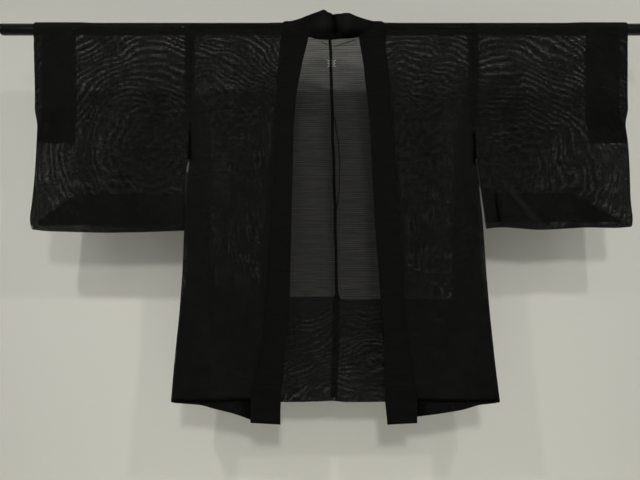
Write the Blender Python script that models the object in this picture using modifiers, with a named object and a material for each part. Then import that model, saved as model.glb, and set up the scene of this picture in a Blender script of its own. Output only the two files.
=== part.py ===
"""A sheer summer haori jacket hung flat on a round rod that passes through both sleeves.

The frame is in metres, +Z up, with the jacket's front facing -Y. The origin is on the rod's axis,
at the centre back. Left and right are as seen from the front. Every piece of cloth is a thin wall
lofted through sections that follow its cut edges and the way that it hangs from the rod.
"""

import math

import bmesh
import bpy
import numpy as np
from mathutils import Matrix, Vector

# The rod and its end caps.
ROD_RADIUS = 0.0125
ROD_LENGTH = 1.456
ROD_SIDES = 32
CAP_LENGTH = 0.009
CAP_ROUND = 0.0045

# The cloth: a wall's thickness, and how far apart neighbouring pieces stay.
WALL = 0.0012
FACING_WALL = 0.0008
COLLAR_WALL = 0.0020
SEAM_GAP = 0.0003
LAYER_GAP = 0.0004
REST_GAP = 0.0005
BAG_GAP = 0.0005
FACET_ALLOWANCE = 0.0003

# Middle of the cloth's wall where it rides over the rod, from the rod's axis.
RIDE = ROD_RADIUS + REST_GAP + WALL / 2
QUARTER = RIDE * math.pi / 2
FACING_RIDE = ROD_RADIUS + REST_GAP + FACING_WALL / 2
CUFF_RIDE = FACING_RIDE + FACING_WALL / 2 + LAYER_GAP + WALL / 2
LINING_STEP = WALL / 2 + LAYER_GAP + FACING_WALL / 2
COLLAR_STEP = WALL / 2 + LAYER_GAP + COLLAR_WALL / 2
NECK_SPARE = 0.0006
COLLAR_RIDE = RIDE + NECK_SPARE + COLLAR_STEP + FACET_ALLOWANCE

# Driving sizes of the cut.
HALF_BODY = 0.311
ARMHOLE_DEPTH = 0.220
WRIST_DEPTH = 0.208
CUFF_PART = 0.748
CUFF_END_PART = 0.993
CUFF_FACING_DEPTH = 0.250
COLLAR_LAP = 0.008
HEM_CREASE = -0.819
HEM_TURN_BACK = 0.35
GUSSET_TOP = -ARMHOLE_DEPTH - 0.003
GUSSET_FOLD = 0.004
SLEEVE_CLOSED = 0.0030
WAVE_RUN_IN = 0.35
CENTRE_REACH = 0.09
CUFF_SWELL_START = 0.135
CUFF_SWELL_RUN = 0.040
CUFF_SWELL_FOOT = -0.300
CUFF_SWELL_FADE = 0.100
CLOSING_START = 0.178
CLOSING_RUN = 0.040
CLOSING_PART = 0.55
COLLAR_TIP_SLANT = 0.004
HEM_SIDE_GAP = WALL + GUSSET_FOLD

# Side seams of the body below the rod: how far out they hang at each height.
SIDE_SEAM = [
    dict(z=-0.840, left=-0.3500, right=0.3640),
    dict(z=-0.730, left=-0.3405, right=0.3503),
    dict(z=-0.630, left=-0.3310, right=0.3408),
    dict(z=-0.530, left=-0.3245, right=0.3330),
    dict(z=-0.420, left=-0.3215, right=0.3275),
    dict(z=-0.340, left=-0.3175, right=0.3205),
    dict(z=-0.290, left=-0.3120, right=0.3155),
    dict(z=-ARMHOLE_DEPTH, left=-HALF_BODY, right=HALF_BODY),
    dict(z=0.020, left=-HALF_BODY, right=HALF_BODY),
]

# How far the front and back stand from the rod's plane, beside the seams and towards the centre.
BODY_DEPTH = [
    dict(z=-0.880, side=0.0290, front=0.0185, back=0.0200),
    dict(z=-0.700, side=0.0260, front=0.0170, back=0.0180),
    dict(z=-0.540, side=0.0220, front=0.0160, back=0.0165),
    dict(z=-0.400, side=0.0180, front=0.0150, back=0.0155),
    dict(z=-0.220, side=0.0142, front=0.0142, back=0.0145),
    dict(z=-0.060, side=RIDE, front=RIDE, back=RIDE),
    dict(z=0.020, side=RIDE, front=RIDE, back=RIDE),
]

# Shallow upright waves of the body: centre, half width and height of each, and where it starts.
BODY_WAVES = [
    dict(leg="front", x=-0.262, width=0.034, rise=0.0024, start=-0.25),
    dict(leg="front", x=-0.212, width=0.026, rise=-0.0018, start=-0.18),
    dict(leg="front", x=0.236, width=0.036, rise=0.0022, start=-0.30),
    dict(leg="front", x=0.292, width=0.026, rise=-0.0018, start=-0.22),
    dict(leg="back", x=-0.205, width=0.050, rise=0.0030, start=-0.30),
    dict(leg="back", x=-0.080, width=0.042, rise=-0.0022, start=-0.24),
    dict(leg="back", x=0.110, width=0.046, rise=0.0026, start=-0.28),
    dict(leg="back", x=0.230, width=0.044, rise=-0.0024, start=-0.34),
]

# Front hems: they drop towards the collar. Back hems run nearly level.
FRONT_HEM = {
    "left": [
        dict(x=-0.360, z=-0.8220),
        dict(x=-0.285, z=-0.8290),
        dict(x=-0.241, z=-0.8435),
        dict(x=-0.217, z=-0.8530),
        dict(x=-0.165, z=-0.8760),
    ],
    "right": [
        dict(x=0.176, z=-0.8630),
        dict(x=0.224, z=-0.8535),
        dict(x=0.288, z=-0.8420),
        dict(x=0.323, z=-0.8290),
        dict(x=0.370, z=-0.8220),
    ],
}
BACK_HEM = [
    dict(x=-0.360, z=-0.8300),
    dict(x=-0.180, z=-0.8360),
    dict(x=0.000, z=-0.8340),
    dict(x=0.180, z=-0.8370),
    dict(x=0.370, z=-0.8310),
]

# Inner edge of each body panel over the shoulder, by the run of cloth from the rod's top line:
# behind it the panel reaches the centre back, before it the panel ends under the collar.
NECKLINE = [
    dict(run=-QUARTER / 4, left=0.000, right=0.000),
    dict(run=0.0000, left=-0.088, right=0.094),
    dict(run=QUARTER / 4, left=-0.096, right=0.103),
    dict(run=QUARTER, left=-0.102, right=0.108),
]

# At the neck the cloth rides a little wider and the back is drawn up over the rod: the height
# of its ridge along the rod.
NECK_REACH = 0.150
NECK_FADE = 0.030
NECK_RISE = [
        dict(x=-0.0950, z=RIDE),
    dict(x=-0.0880, z=0.0156),
    dict(x=-0.0750, z=0.0166),
    dict(x=-0.0617, z=0.0200),
    dict(x=-0.0400, z=0.0290),
    dict(x=-0.0180, z=0.0340),
    dict(x=0.0000, z=0.0335),
    dict(x=0.0190, z=0.0335),
    dict(x=0.0350, z=0.0310),
    dict(x=0.0587, z=0.0205),
    dict(x=0.0750, z=0.0160),
    dict(x=0.0940, z=0.0152),
    dict(x=0.1010, z=RIDE),
]

# Collar in front: its seam (outer) and fold (inner) edges at each height.
COLLAR_FRONT = [
    dict(z=-0.868, seam_left=-0.1790, fold_left=-0.1125, seam_right=0.1870, fold_right=0.1215),
    dict(z=-0.815, seam_left=-0.1790, fold_left=-0.1118, seam_right=0.1870, fold_right=0.1150),
    dict(z=-0.660, seam_left=-0.1666, fold_left=-0.0970, seam_right=0.1740, fold_right=0.1140),
    dict(z=-0.590, seam_left=-0.1609, fold_left=-0.0922, seam_right=0.1676, fold_right=0.1060),
    dict(z=-0.430, seam_left=-0.1476, fold_left=-0.0885, seam_right=0.1567, fold_right=0.0937),
    dict(z=-0.225, seam_left=-0.1306, fold_left=-0.0841, seam_right=0.1396, fold_right=0.0845),
    dict(z=-0.146, seam_left=-0.1241, fold_left=-0.0777, seam_right=0.1324, fold_right=0.0761),
    dict(z=-0.073, seam_left=-0.1180, fold_left=-0.0634, seam_right=0.1232, fold_right=0.0680),
    dict(z=-0.025, seam_left=-0.1135, fold_left=-0.0511, seam_right=0.1180, fold_right=0.0589),
]

# Collar round the neck: it is sewn to the ridge of the back cloth and falls in front of the rod.
# Each row gives its seam edge on top and its fold edge below, from the left front to the right.
COLLAR_NECK = [
    dict(seam=(-0.1110, -0.0158, -0.0080), fold=(-0.0505, -0.0165, -0.0240)),
    dict(seam=(-0.1095, -0.0158, 0.0020), fold=(-0.0504, -0.0165, -0.0239)),
    dict(seam=(-0.1070, -0.0128, 0.0100), fold=(-0.0503, -0.0165, -0.0238)),
    dict(seam=(-0.1000, -0.0040, 0.0155), fold=(-0.0500, -0.0165, -0.0236)),
    dict(seam=(-0.0870, -0.0010, 0.0190), fold=(-0.0490, -0.0165, -0.0236)),
    dict(seam=(-0.0720, 0.0005, 0.0242), fold=(-0.0470, -0.0165, -0.0242)),
    dict(seam=(-0.0550, 0.0030, 0.0320), fold=(-0.0420, -0.0167, -0.0260)),
    dict(seam=(-0.0360, 0.0060, 0.0405), fold=(-0.0330, -0.0170, -0.0286)),
    dict(seam=(-0.0190, 0.0075, 0.0460), fold=(-0.0200, -0.0172, -0.0300)),
    dict(seam=(-0.0080, 0.0075, 0.0420), fold=(-0.0080, -0.0173, -0.0302)),
    dict(seam=(0.0060, 0.0072, 0.0384), fold=(0.0050, -0.0172, -0.0292)),
    dict(seam=(0.0190, 0.0075, 0.0386), fold=(0.0180, -0.0170, -0.0272)),
    dict(seam=(0.0320, 0.0070, 0.0394), fold=(0.0310, -0.0168, -0.0258)),
    dict(seam=(0.0460, 0.0050, 0.0350), fold=(0.0420, -0.0167, -0.0247)),
    dict(seam=(0.0630, 0.0025, 0.0282), fold=(0.0510, -0.0165, -0.0240)),
    dict(seam=(0.0800, 0.0010, 0.0222), fold=(0.0555, -0.0165, -0.0236)),
    dict(seam=(0.0950, -0.0015, 0.0174), fold=(0.0575, -0.0165, -0.0236)),
    dict(seam=(0.1080, -0.0075, 0.0140), fold=(0.0583, -0.0165, -0.0238)),
    dict(seam=(0.1140, -0.0130, 0.0098), fold=(0.0586, -0.0165, -0.0240)),
    dict(seam=(0.1157, -0.0158, 0.0020), fold=(0.0587, -0.0165, -0.0242)),
    dict(seam=(0.1165, -0.0158, -0.0080), fold=(0.0588, -0.0165, -0.0244)),
]
NECK_STEPS = 2
COLLAR_DROP = 2.0

# Turned-up hems: where their upper edges lie.
HEM_TOP = dict(front_left=-0.580, front_right=-0.598, back_left=-0.597, back_right=-0.603)

# Sleeves: outer edge, the inner edge (free below the armhole), and half the bag's depth.
SLEEVE_EDGE = {
    "left": [
        dict(z=-0.452, outer=-0.6630, inner=-0.3250),
        dict(z=-0.429, outer=-0.6720, inner=-0.3250),
        dict(z=-0.380, outer=-0.6650, inner=-0.3245),
        dict(z=-0.325, outer=-0.6595, inner=-0.3225),
        dict(z=-0.290, outer=-0.6570, inner=-0.3165),
        dict(z=-0.250, outer=-0.6550, inner=-0.3130),
        dict(z=-0.208, outer=-0.6530, inner=-HALF_BODY),
        dict(z=-0.160, outer=-0.6525, inner=-HALF_BODY),
        dict(z=-0.050, outer=-0.6550, inner=-HALF_BODY),
        dict(z=0.020, outer=-0.6565, inner=-HALF_BODY),
    ],
    "right": [
        dict(z=-0.452, outer=0.6630, inner=0.3470),
        dict(z=-0.429, outer=0.6695, inner=0.3420),
        dict(z=-0.380, outer=0.6640, inner=0.3334),
        dict(z=-0.325, outer=0.6620, inner=0.3245),
        dict(z=-0.290, outer=0.6600, inner=0.3190),
        dict(z=-0.250, outer=0.6570, inner=0.3150),
        dict(z=-0.208, outer=0.6510, inner=HALF_BODY),
        dict(z=-0.160, outer=0.6500, inner=HALF_BODY),
        dict(z=-0.050, outer=0.6502, inner=HALF_BODY),
        dict(z=0.020, outer=0.6511, inner=HALF_BODY),
    ],
}
SLEEVE_BOTTOM = {
    "left": [
        dict(x=-0.672, z=-0.4430),
        dict(x=-0.640, z=-0.4475),
        dict(x=-0.510, z=-0.4511),
        dict(x=-0.418, z=-0.4496),
        dict(x=-0.320, z=-0.4460),
    ],
    "right": [
        dict(x=0.340, z=-0.4428),
        dict(x=0.374, z=-0.4380),
        dict(x=0.465, z=-0.4450),
        dict(x=0.568, z=-0.4390),
        dict(x=0.640, z=-0.4405),
        dict(x=0.670, z=-0.4370),
    ],
}
SLEEVE_DEPTH = [
    dict(z=-0.452, half=SLEEVE_CLOSED),
    dict(z=-0.435, half=0.0045),
    dict(z=-0.405, half=0.0080),
    dict(z=-0.340, half=0.0120),
    dict(z=-0.220, half=0.0142),
    dict(z=-0.060, half=RIDE),
    dict(z=0.020, half=RIDE),
]

# Allowance kept inside each sleeve's bottom: its outer edge slants to the sleeve's corner.
SLEEVE_HEM = {
    "left": [
        dict(z=-0.436, outer=-0.6540),
        dict(z=-0.424, outer=-0.6500),
        dict(z=-0.410, outer=-0.6289),
        dict(z=-0.380, outer=-0.5836),
        dict(z=-0.367, outer=-0.5640),
    ],
    "right": [
        dict(z=-0.429, outer=0.6480),
        dict(z=-0.420, outer=0.6340),
        dict(z=-0.410, outer=0.6153),
        dict(z=-0.380, outer=0.5591),
        dict(z=-0.365, outer=0.5310),
    ],
}

# Rows and columns of the lofts.
ROD_RUNS = [QUARTER * step / 4 for step in range(-4, 5)]
BACK_HEIGHTS = [-0.77, -0.69, -0.60, -0.51, -0.42, -0.34, -0.27, -0.22, -0.14, -0.07, -0.03]
FRONT_HEIGHTS = [-0.03, -0.07, -0.14, -0.22, -0.27, -0.34, -0.42, -0.51, -0.60, -0.69, -0.77]
GUSSET_HEIGHTS = [GUSSET_TOP, -0.27, -0.34, -0.42, -0.51, -0.60, -0.69, -0.77]
SLEEVE_HEIGHTS = [
    -0.03, -0.08, -0.13, -0.17, -0.192, -WRIST_DEPTH, -0.225, -0.25, -0.29, -0.34, -0.38, -0.41,
    -0.429,
]
BODY_COLUMNS = [0.0, 0.12, 0.25, 0.38, 0.50, 0.62, 0.75, 0.88, 1.0]
COLLAR_COLUMNS = [0.0, 0.1, 0.2, 0.3, 0.4, 0.5, 0.6, 0.7, 0.8, 0.9, 1.0]
COLLAR_HEIGHTS = [
    -0.868, -0.815, -0.77, -0.69, -0.60, -0.51, -0.42, -0.34, -0.27, -0.22, -0.14, -0.07, -0.025,
]
SLEEVE_COLUMNS = [0.0, 0.14, 0.30, 0.46, 0.62, CUFF_PART, 0.87, 0.95, 1.0]

CLOTH_COLOUR = (0.0060, 0.0060, 0.0056, 1.0)
ROD_COLOUR = (0.012, 0.012, 0.013, 1.0)


def mix(start, end, part):
    """The value a part of the way from start to end."""
    return start + (end - start) * part


def ease(part):
    """A part from 0 to 1, eased at both ends."""
    part = min(max(part, 0.0), 1.0)
    return part * part * (3.0 - 2.0 * part)


def read(rows, column, at, key="z"):
    """A table's column, read between its rows."""
    return float(np.interp(at, [row[key] for row in rows], [row[column] for row in rows]))


def waves(leg, x, z):
    """How far the body's shallow waves stand out at a point."""
    out = 0.0
    for wave in BODY_WAVES:
        if wave["leg"] != leg or z > wave["start"]:
            continue
        across = math.exp(-(((x - wave["x"]) / wave["width"]) ** 2))
        out += wave["rise"] * across * ease((wave["start"] - z) / WAVE_RUN_IN)
    return out


def body_depth(leg, x, z):
    """How far the front or back cloth stands from the rod's plane."""
    side = read(SIDE_SEAM, "left" if x < 0 else "right", z)
    outward = ease((abs(x) - CENTRE_REACH) / (abs(side) - CENTRE_REACH))
    depth = mix(read(BODY_DEPTH, leg, z), read(BODY_DEPTH, "side", z), outward)
    if leg == "front" and z < HEM_CREASE:
        depth -= (HEM_CREASE - z) * HEM_TURN_BACK
    return depth + waves(leg, x, z)


def body_point(x, run):
    """A point of the body's cloth: run is measured over the rod, positive in front."""
    if abs(run) <= QUARTER:
        angle = run / RIDE
        ride = RIDE + NECK_SPARE * ease((NECK_REACH - abs(x)) / NECK_FADE)
        rise = max(read(NECK_RISE, "z", x, key="x"), ride) if run <= 0 else ride
        return Vector((x, -ride * math.sin(angle), rise * math.cos(angle)))
    leg = "front" if run > 0 else "back"
    z = QUARTER - abs(run)
    depth = body_depth(leg, x, z)
    return Vector((x, -depth if run > 0 else depth, z))


def body_inner(side, run):
    """Inner edge of a body panel at a run of its cloth."""
    sign = -1.0 if side == "left" else 1.0
    if run <= NECKLINE[0]["run"]:
        return sign * SEAM_GAP / 2
    if run <= QUARTER:
        return read(NECKLINE, side, run, key="run")
    z = QUARTER - run
    under = read(COLLAR_FRONT, "seam_" + side, z) - sign * COLLAR_LAP
    return mix(read(NECKLINE, side, run, key="run"), under, ease(-z / 0.03))


def body_outer(side, run):
    """Outer edge of a body panel at a run of its cloth."""
    sign = -1.0 if side == "left" else 1.0
    return read(SIDE_SEAM, side, min(QUARTER - abs(run), 0.0)) - sign * SEAM_GAP / 2


def hem_run(leg, side, x):
    """The run at which a panel's hem lies."""
    if leg == "front":
        return QUARTER - read(FRONT_HEM[side], "z", x, key="x")
    return read(BACK_HEM, "z", x, key="x") - QUARTER


def body_row(side, run, columns):
    """One section across a body panel."""
    outer, inner = body_outer(side, run), body_inner(side, run)
    return [body_point(mix(outer, inner, part), run) for part in columns]


def hem_row(leg, side, columns):
    """The section along a body panel's hem."""
    end = QUARTER - HEM_CREASE
    run = end if leg == "front" else -end
    outer, inner = body_outer(side, run), body_inner(side, run)
    across = [mix(outer, inner, part) for part in columns]
    return [body_point(x, hem_run(leg, side, x)) for x in across]


def sleeve_ride(side, x):
    """Radius at which a sleeve rides over the rod: wider where the cuff's facing lies under it."""
    outer = abs(read(SLEEVE_EDGE[side], "outer", 0.0))
    return mix(RIDE, CUFF_RIDE, ease((abs(x) - outer + CUFF_SWELL_START) / CUFF_SWELL_RUN))


def sleeve_depth(side, part, x, z):
    """Half the sleeve's depth at a height: it closes at the bottom and below the wrist."""
    spare = sleeve_ride(side, x) - RIDE
    half = read(SLEEVE_DEPTH, "half", z) + spare * ease((z - CUFF_SWELL_FOOT) / CUFF_SWELL_FADE)
    below = ease((-z - CLOSING_START) / CLOSING_RUN)
    outward = ease((part - CLOSING_PART) / (1.0 - CLOSING_PART))
    return mix(half, min(half, SLEEVE_CLOSED + WALL / 2), below * outward)


def sleeve_point(side, part, z, leg, inward=0.0):
    """A point of a sleeve's leg, moved inward by a distance."""
    inner = read(SLEEVE_EDGE[side], "inner", z)
    inner += (-SEAM_GAP if side == "left" else SEAM_GAP) / 2
    x = mix(inner, read(SLEEVE_EDGE[side], "outer", z), part)
    depth = sleeve_depth(side, part, x, z) - inward
    return Vector((x, -depth if leg == "front" else depth, z))


def sleeve_arc(side, part, angle, radius):
    """A point of a sleeve where it rides over the rod."""
    inner = read(SLEEVE_EDGE[side], "inner", 0.0)
    inner += (-SEAM_GAP if side == "left" else SEAM_GAP) / 2
    x = mix(inner, read(SLEEVE_EDGE[side], "outer", 0.0), part)
    return Vector((x, -radius * math.sin(angle), radius * math.cos(angle)))


def sleeve_ring(side, part):
    """One closed section round a sleeve: down the front, along the bottom and up the back."""
    ride = sleeve_ride(side, sleeve_arc(side, part, 0.0, RIDE).x)
    over = [sleeve_arc(side, part, run / RIDE, ride) for run in ROD_RUNS]
    front = [sleeve_point(side, part, z, "front") for z in SLEEVE_HEIGHTS]
    back = [sleeve_point(side, part, z, "back") for z in reversed(SLEEVE_HEIGHTS)]
    low = sleeve_point(side, part, SLEEVE_HEIGHTS[-1], "front")
    bottom = read(SLEEVE_BOTTOM[side], "z", low.x, key="x")
    foot = sleeve_point(side, part, bottom, "front")
    turn = [Vector((foot.x, y, bottom)) for y in (-SLEEVE_CLOSED, SLEEVE_CLOSED)]
    return over[4:] + front + turn + back + over[:5]


def grid(name, sections, closed=False):
    """An open or tube-shaped sheet through sections with the same number of points."""
    rows, columns = len(sections), len(sections[0])
    mesh = bmesh.new()
    bmesh.ops.create_grid(mesh, x_segments=columns - 1, y_segments=rows - 1, size=0.5)
    for vert in mesh.verts:
        row = round((vert.co.y + 0.5) * (rows - 1))
        column = round((vert.co.x + 0.5) * (columns - 1))
        vert.co = sections[row][column]
    if closed:
        bmesh.ops.remove_doubles(mesh, verts=mesh.verts, dist=0.00001)
    return mesh


def make_material(name, colour, roughness, metallic=0.0):
    """A plain material in one colour."""
    material = bpy.data.materials.new(name)
    material.use_nodes = True
    shader = material.node_tree.nodes["Principled BSDF"]
    shader.inputs["Base Color"].default_value = colour
    shader.inputs["Roughness"].default_value = roughness
    shader.inputs["Metallic"].default_value = metallic
    return material


def add_object(name, mesh, colour, roughness):
    """Finishes a bmesh as a named object with its own material in the jacket's collection."""
    bmesh.ops.recalc_face_normals(mesh, faces=mesh.faces)
    data = bpy.data.meshes.new(name)
    mesh.to_mesh(data)
    mesh.free()
    data.materials.append(make_material(name, colour, roughness))
    thing = bpy.data.objects.new(name, data)
    bpy.data.collections["haori_on_rod"].objects.link(thing)
    data.shade_smooth()
    return thing


def cloth(name, mesh, wall=WALL):
    """Gives a sheet its wall, half to each side."""
    thing = add_object(name, mesh, CLOTH_COLOUR, 0.8)
    solidify = thing.modifiers.new("wall", "SOLIDIFY")
    solidify.thickness = wall
    solidify.offset = 0.0
    solidify.use_even_offset = True
    solidify.use_rim = True
    return thing


def build_body(side):
    """One body panel: back, over the shoulder and front in one length of cloth."""
    columns = BODY_COLUMNS
    runs = [z - QUARTER for z in BACK_HEIGHTS] + ROD_RUNS
    runs += [QUARTER - z for z in FRONT_HEIGHTS] + [QUARTER - HEM_CREASE]
    sections = [hem_row("back", side, columns)]
    sections += [body_row(side, run, columns) for run in sorted(runs)]
    sections.append(hem_row("front", side, columns))
    return cloth("body_" + side, grid("body_" + side, sections))


def build_gusset(side):
    """The narrow wedge between a front and a back, folded slightly inward."""
    sign = -1.0 if side == "left" else 1.0
    clear = WALL / 2 + LAYER_GAP
    sections = []
    for z in GUSSET_HEIGHTS + [None]:
        across = []
        for part in (-1.0, -0.5, 0.0, 0.5, 1.0):
            leg = "front" if part < 0 else "back"
            low = mix(HEM_CREASE, read(BACK_HEM, "z", sign * 0.355, key="x"), (part + 1.0) / 2)
            height = low if z is None else z
            edge = read(SIDE_SEAM, side, height) - sign * (WALL / 2 + SEAM_GAP)
            depth = body_depth(leg, edge, max(height, HEM_CREASE)) - clear
            inward = GUSSET_FOLD * (1.0 - part * part) * ease((GUSSET_TOP - height) / 0.25)
            across.append(Vector((edge - sign * inward, part * depth, height)))
        sections.append(across)
    return cloth("gusset_" + side, grid("gusset_" + side, sections))


def build_body_hem(leg, side):
    """A deep turned-up hem on the inside of a front or back."""
    top = HEM_TOP[leg + "_" + side]
    sign = 1.0 if leg == "front" else -1.0
    columns = BODY_COLUMNS
    heights = [top] + [z for z in FRONT_HEIGHTS if z < top - 0.02] + [HEM_CREASE]
    sections = [body_row(side, sign * (QUARTER - z), columns) for z in heights]
    sections.append(hem_row(leg, side, columns))
    toward = -1.0 if side == "left" else 1.0
    for section in sections:
        section[0].x -= toward * HEM_SIDE_GAP
        for point in section:
            point.y += sign * LINING_STEP
    return cloth(f"hem_{leg}_{side}", grid("hem", sections), FACING_WALL)


def build_sleeve(side):
    """A sleeve: folded over the rod, closed along its bottom and below the wrist opening."""
    mesh = grid("sleeve", [sleeve_ring(side, part) for part in SLEEVE_COLUMNS], closed=True)
    reach = max(abs(vert.co.x) for vert in mesh.verts)
    edges = []
    for edge in mesh.edges:
        if not edge.is_boundary:
            continue
        centre = (edge.verts[0].co + edge.verts[1].co) / 2
        along_bottom = abs(edge.verts[0].co.y - edge.verts[1].co.y) > SLEEVE_CLOSED
        if abs(centre.x) > reach - 0.06 and centre.z < -WRIST_DEPTH and not along_bottom:
            edges.append(edge)
    bmesh.ops.bridge_loops(mesh, edges=edges)
    return cloth("sleeve_" + side, mesh)


def build_cuff_facing(side):
    """The doubled band inside the wrist end of a sleeve."""
    columns = [part for part in SLEEVE_COLUMNS if CUFF_PART <= part < 1.0] + [CUFF_END_PART]
    heights = [z for z in SLEEVE_HEIGHTS if z >= -CUFF_FACING_DEPTH]
    sections = []
    for part in columns:
        front = [sleeve_point(side, part, z, "front", LINING_STEP) for z in heights]
        over = [sleeve_arc(side, part, run / RIDE, FACING_RIDE) for run in ROD_RUNS]
        back = [sleeve_point(side, part, z, "back", LINING_STEP) for z in heights]
        sections.append(back[::-1] + over + front)
    return cloth("cuff_facing_" + side, grid("cuff", sections), FACING_WALL)


def build_sleeve_hem(side):
    """The allowance kept flat against the front inside a sleeve's bottom."""
    table = SLEEVE_HEM[side]
    sections = []
    for z in [row["z"] for row in table]:
        inner = read(SLEEVE_EDGE[side], "inner", z)
        outer = read(SLEEVE_EDGE[side], "outer", z)
        reach = (read(table, "outer", z) - inner) / (outer - inner)
        parts = [mix(0.004, reach, column) for column in SLEEVE_COLUMNS]
        step = LINING_STEP + BAG_GAP
        sections.append([sleeve_point(side, part, z, "front", step) for part in parts])
    return cloth("sleeve_hem_" + side, grid("sleeve_hem", sections), FACING_WALL)


def collar_front_row(side, z):
    """One section across the collar where it hangs in front."""
    seam = read(COLLAR_FRONT, "seam_" + side, z)
    fold = read(COLLAR_FRONT, "fold_" + side, z)
    depth = body_depth("front", seam, max(z, HEM_CREASE)) + COLLAR_STEP
    tip = COLLAR_TIP_SLANT * ease((-0.80 - z) / 0.07)
    return [Vector((mix(seam, fold, part), -depth, z - tip * part)) for part in COLLAR_COLUMNS]


def clear_rod(point):
    """Keeps a point of the collar outside the cloth that rides over the rod."""
    radius = math.hypot(point.y, point.z)
    if radius < COLLAR_RIDE:
        point.y *= COLLAR_RIDE / radius
        point.z *= COLLAR_RIDE / radius
    return point


def smooth_stops(stops):
    """Reads the collar's edges at even steps along a smooth curve through their stops."""
    rows = []
    for index in range(len(stops) - 1):
        before = stops[max(index - 1, 0)]
        start, end = stops[index], stops[index + 1]
        after = stops[min(index + 2, len(stops) - 1)]
        for step in range(NECK_STEPS):
            t = step / NECK_STEPS
            ends = []
            for p, q, r, s in zip(before, start, end, after):
                bend = (r - p) * 0.5 * t + (p - q * 2.5 + r * 2.0 - s * 0.5) * t * t
                ends.append(q + bend + (q * 1.5 - p * 0.5 - r * 1.5 + s * 0.5) * t * t * t)
            rows.append(ends)
    rows.append(stops[-1])
    return rows


def collar_neck_row(seam, fold):
    """One section across the collar at the neck, drawn round the rod and hanging before it."""
    across = []
    for part in COLLAR_COLUMNS:
        point = seam.lerp(fold, part)
        point.y = mix(seam.y, fold.y, 1.0 - (1.0 - part) ** COLLAR_DROP)
        across.append(clear_rod(point))
    return across


def build_collar():
    """The folded collar: from one front tip up, round the neck and down to the other."""
    left = [collar_front_row("left", z) for z in COLLAR_HEIGHTS]
    right = [collar_front_row("right", z) for z in reversed(COLLAR_HEIGHTS)]
    stops = [[left[-1][0], left[-1][-1]]]
    stops += [[Vector(row["seam"]), Vector(row["fold"])] for row in COLLAR_NECK]
    stops.append([right[0][0], right[0][-1]])
    neck = [collar_neck_row(seam, fold) for seam, fold in smooth_stops(stops)[1:-1]]
    return cloth("collar", grid("collar", left + neck + right), COLLAR_WALL)


def build_rod():
    """The round rod and a rounded cap seated on each of its ends."""
    mesh = bmesh.new()
    bmesh.ops.create_cone(
        mesh, cap_ends=True, segments=ROD_SIDES, radius1=ROD_RADIUS, radius2=ROD_RADIUS,
        depth=ROD_LENGTH,
    )
    bmesh.ops.rotate(mesh, verts=mesh.verts, matrix=turn_to_x())
    add_object("rod", mesh, ROD_COLOUR, 0.4)
    for side, sign in (("left", -1.0), ("right", 1.0)):
        mesh = bmesh.new()
        bmesh.ops.create_cone(
            mesh, cap_ends=True, segments=ROD_SIDES, radius1=ROD_RADIUS, radius2=ROD_RADIUS,
            depth=CAP_LENGTH,
        )
        far = [edge for edge in mesh.edges if min(v.co.z * sign for v in edge.verts) > 0]
        bmesh.ops.bevel(
            mesh, geom=far, offset=CAP_ROUND, segments=4, profile=0.5, affect="EDGES",
            material=-1,
        )
        bmesh.ops.rotate(mesh, verts=mesh.verts, matrix=turn_to_x())
        away = sign * (ROD_LENGTH / 2 + SEAM_GAP + CAP_LENGTH / 2)
        bmesh.ops.translate(mesh, verts=mesh.verts, vec=(away, 0.0, 0.0))
        add_object("rod_cap_" + side, mesh, ROD_COLOUR, 0.4)


def turn_to_x():
    """The quarter turn that lays an upright primitive along X."""
    return Matrix.Rotation(math.pi / 2, 3, "Y")


def main():
    for thing in list(bpy.data.objects):
        bpy.data.objects.remove(thing)
    collection = bpy.data.collections.new("haori_on_rod")
    bpy.context.scene.collection.children.link(collection)
    build_rod()
    build_collar()
    for side in ("left", "right"):
        build_body(side)
        build_gusset(side)
        build_sleeve(side)
        build_cuff_facing(side)
        build_sleeve_hem(side)
        for leg in ("front", "back"):
            build_body_hem(leg, side)


main()
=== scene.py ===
import math

import bmesh
import bpy
import numpy as np
from mathutils import Matrix, Vector


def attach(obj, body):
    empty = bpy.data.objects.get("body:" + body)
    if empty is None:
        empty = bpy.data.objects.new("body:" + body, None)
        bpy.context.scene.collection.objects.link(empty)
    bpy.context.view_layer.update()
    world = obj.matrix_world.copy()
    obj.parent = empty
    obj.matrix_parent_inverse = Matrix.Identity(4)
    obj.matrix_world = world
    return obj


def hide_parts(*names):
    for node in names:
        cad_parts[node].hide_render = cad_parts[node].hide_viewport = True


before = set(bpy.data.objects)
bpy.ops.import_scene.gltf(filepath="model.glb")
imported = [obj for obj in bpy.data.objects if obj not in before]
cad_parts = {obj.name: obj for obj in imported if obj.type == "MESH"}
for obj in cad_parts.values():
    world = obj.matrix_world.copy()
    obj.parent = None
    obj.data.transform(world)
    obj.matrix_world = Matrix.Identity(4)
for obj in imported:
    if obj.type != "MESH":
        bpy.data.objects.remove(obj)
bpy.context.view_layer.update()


def table(columns, *rows):
    """A table's rows, each with its values named by their columns."""
    return [dict(zip(columns.split(), row)) for row in rows]


# A sheer summer haori jacket hung on a round rod. Metres, +Z up, the front facing -Y, the origin
# on the rod's axis at the centre back. Left and right are as seen from the front.

# The rod.
ROD_RADIUS = 0.0125
ROD_LENGTH = 1.456
CAP_LENGTH = 0.009
CAP_ROUND = 0.0045
CAP_GAP = 0.0003

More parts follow.
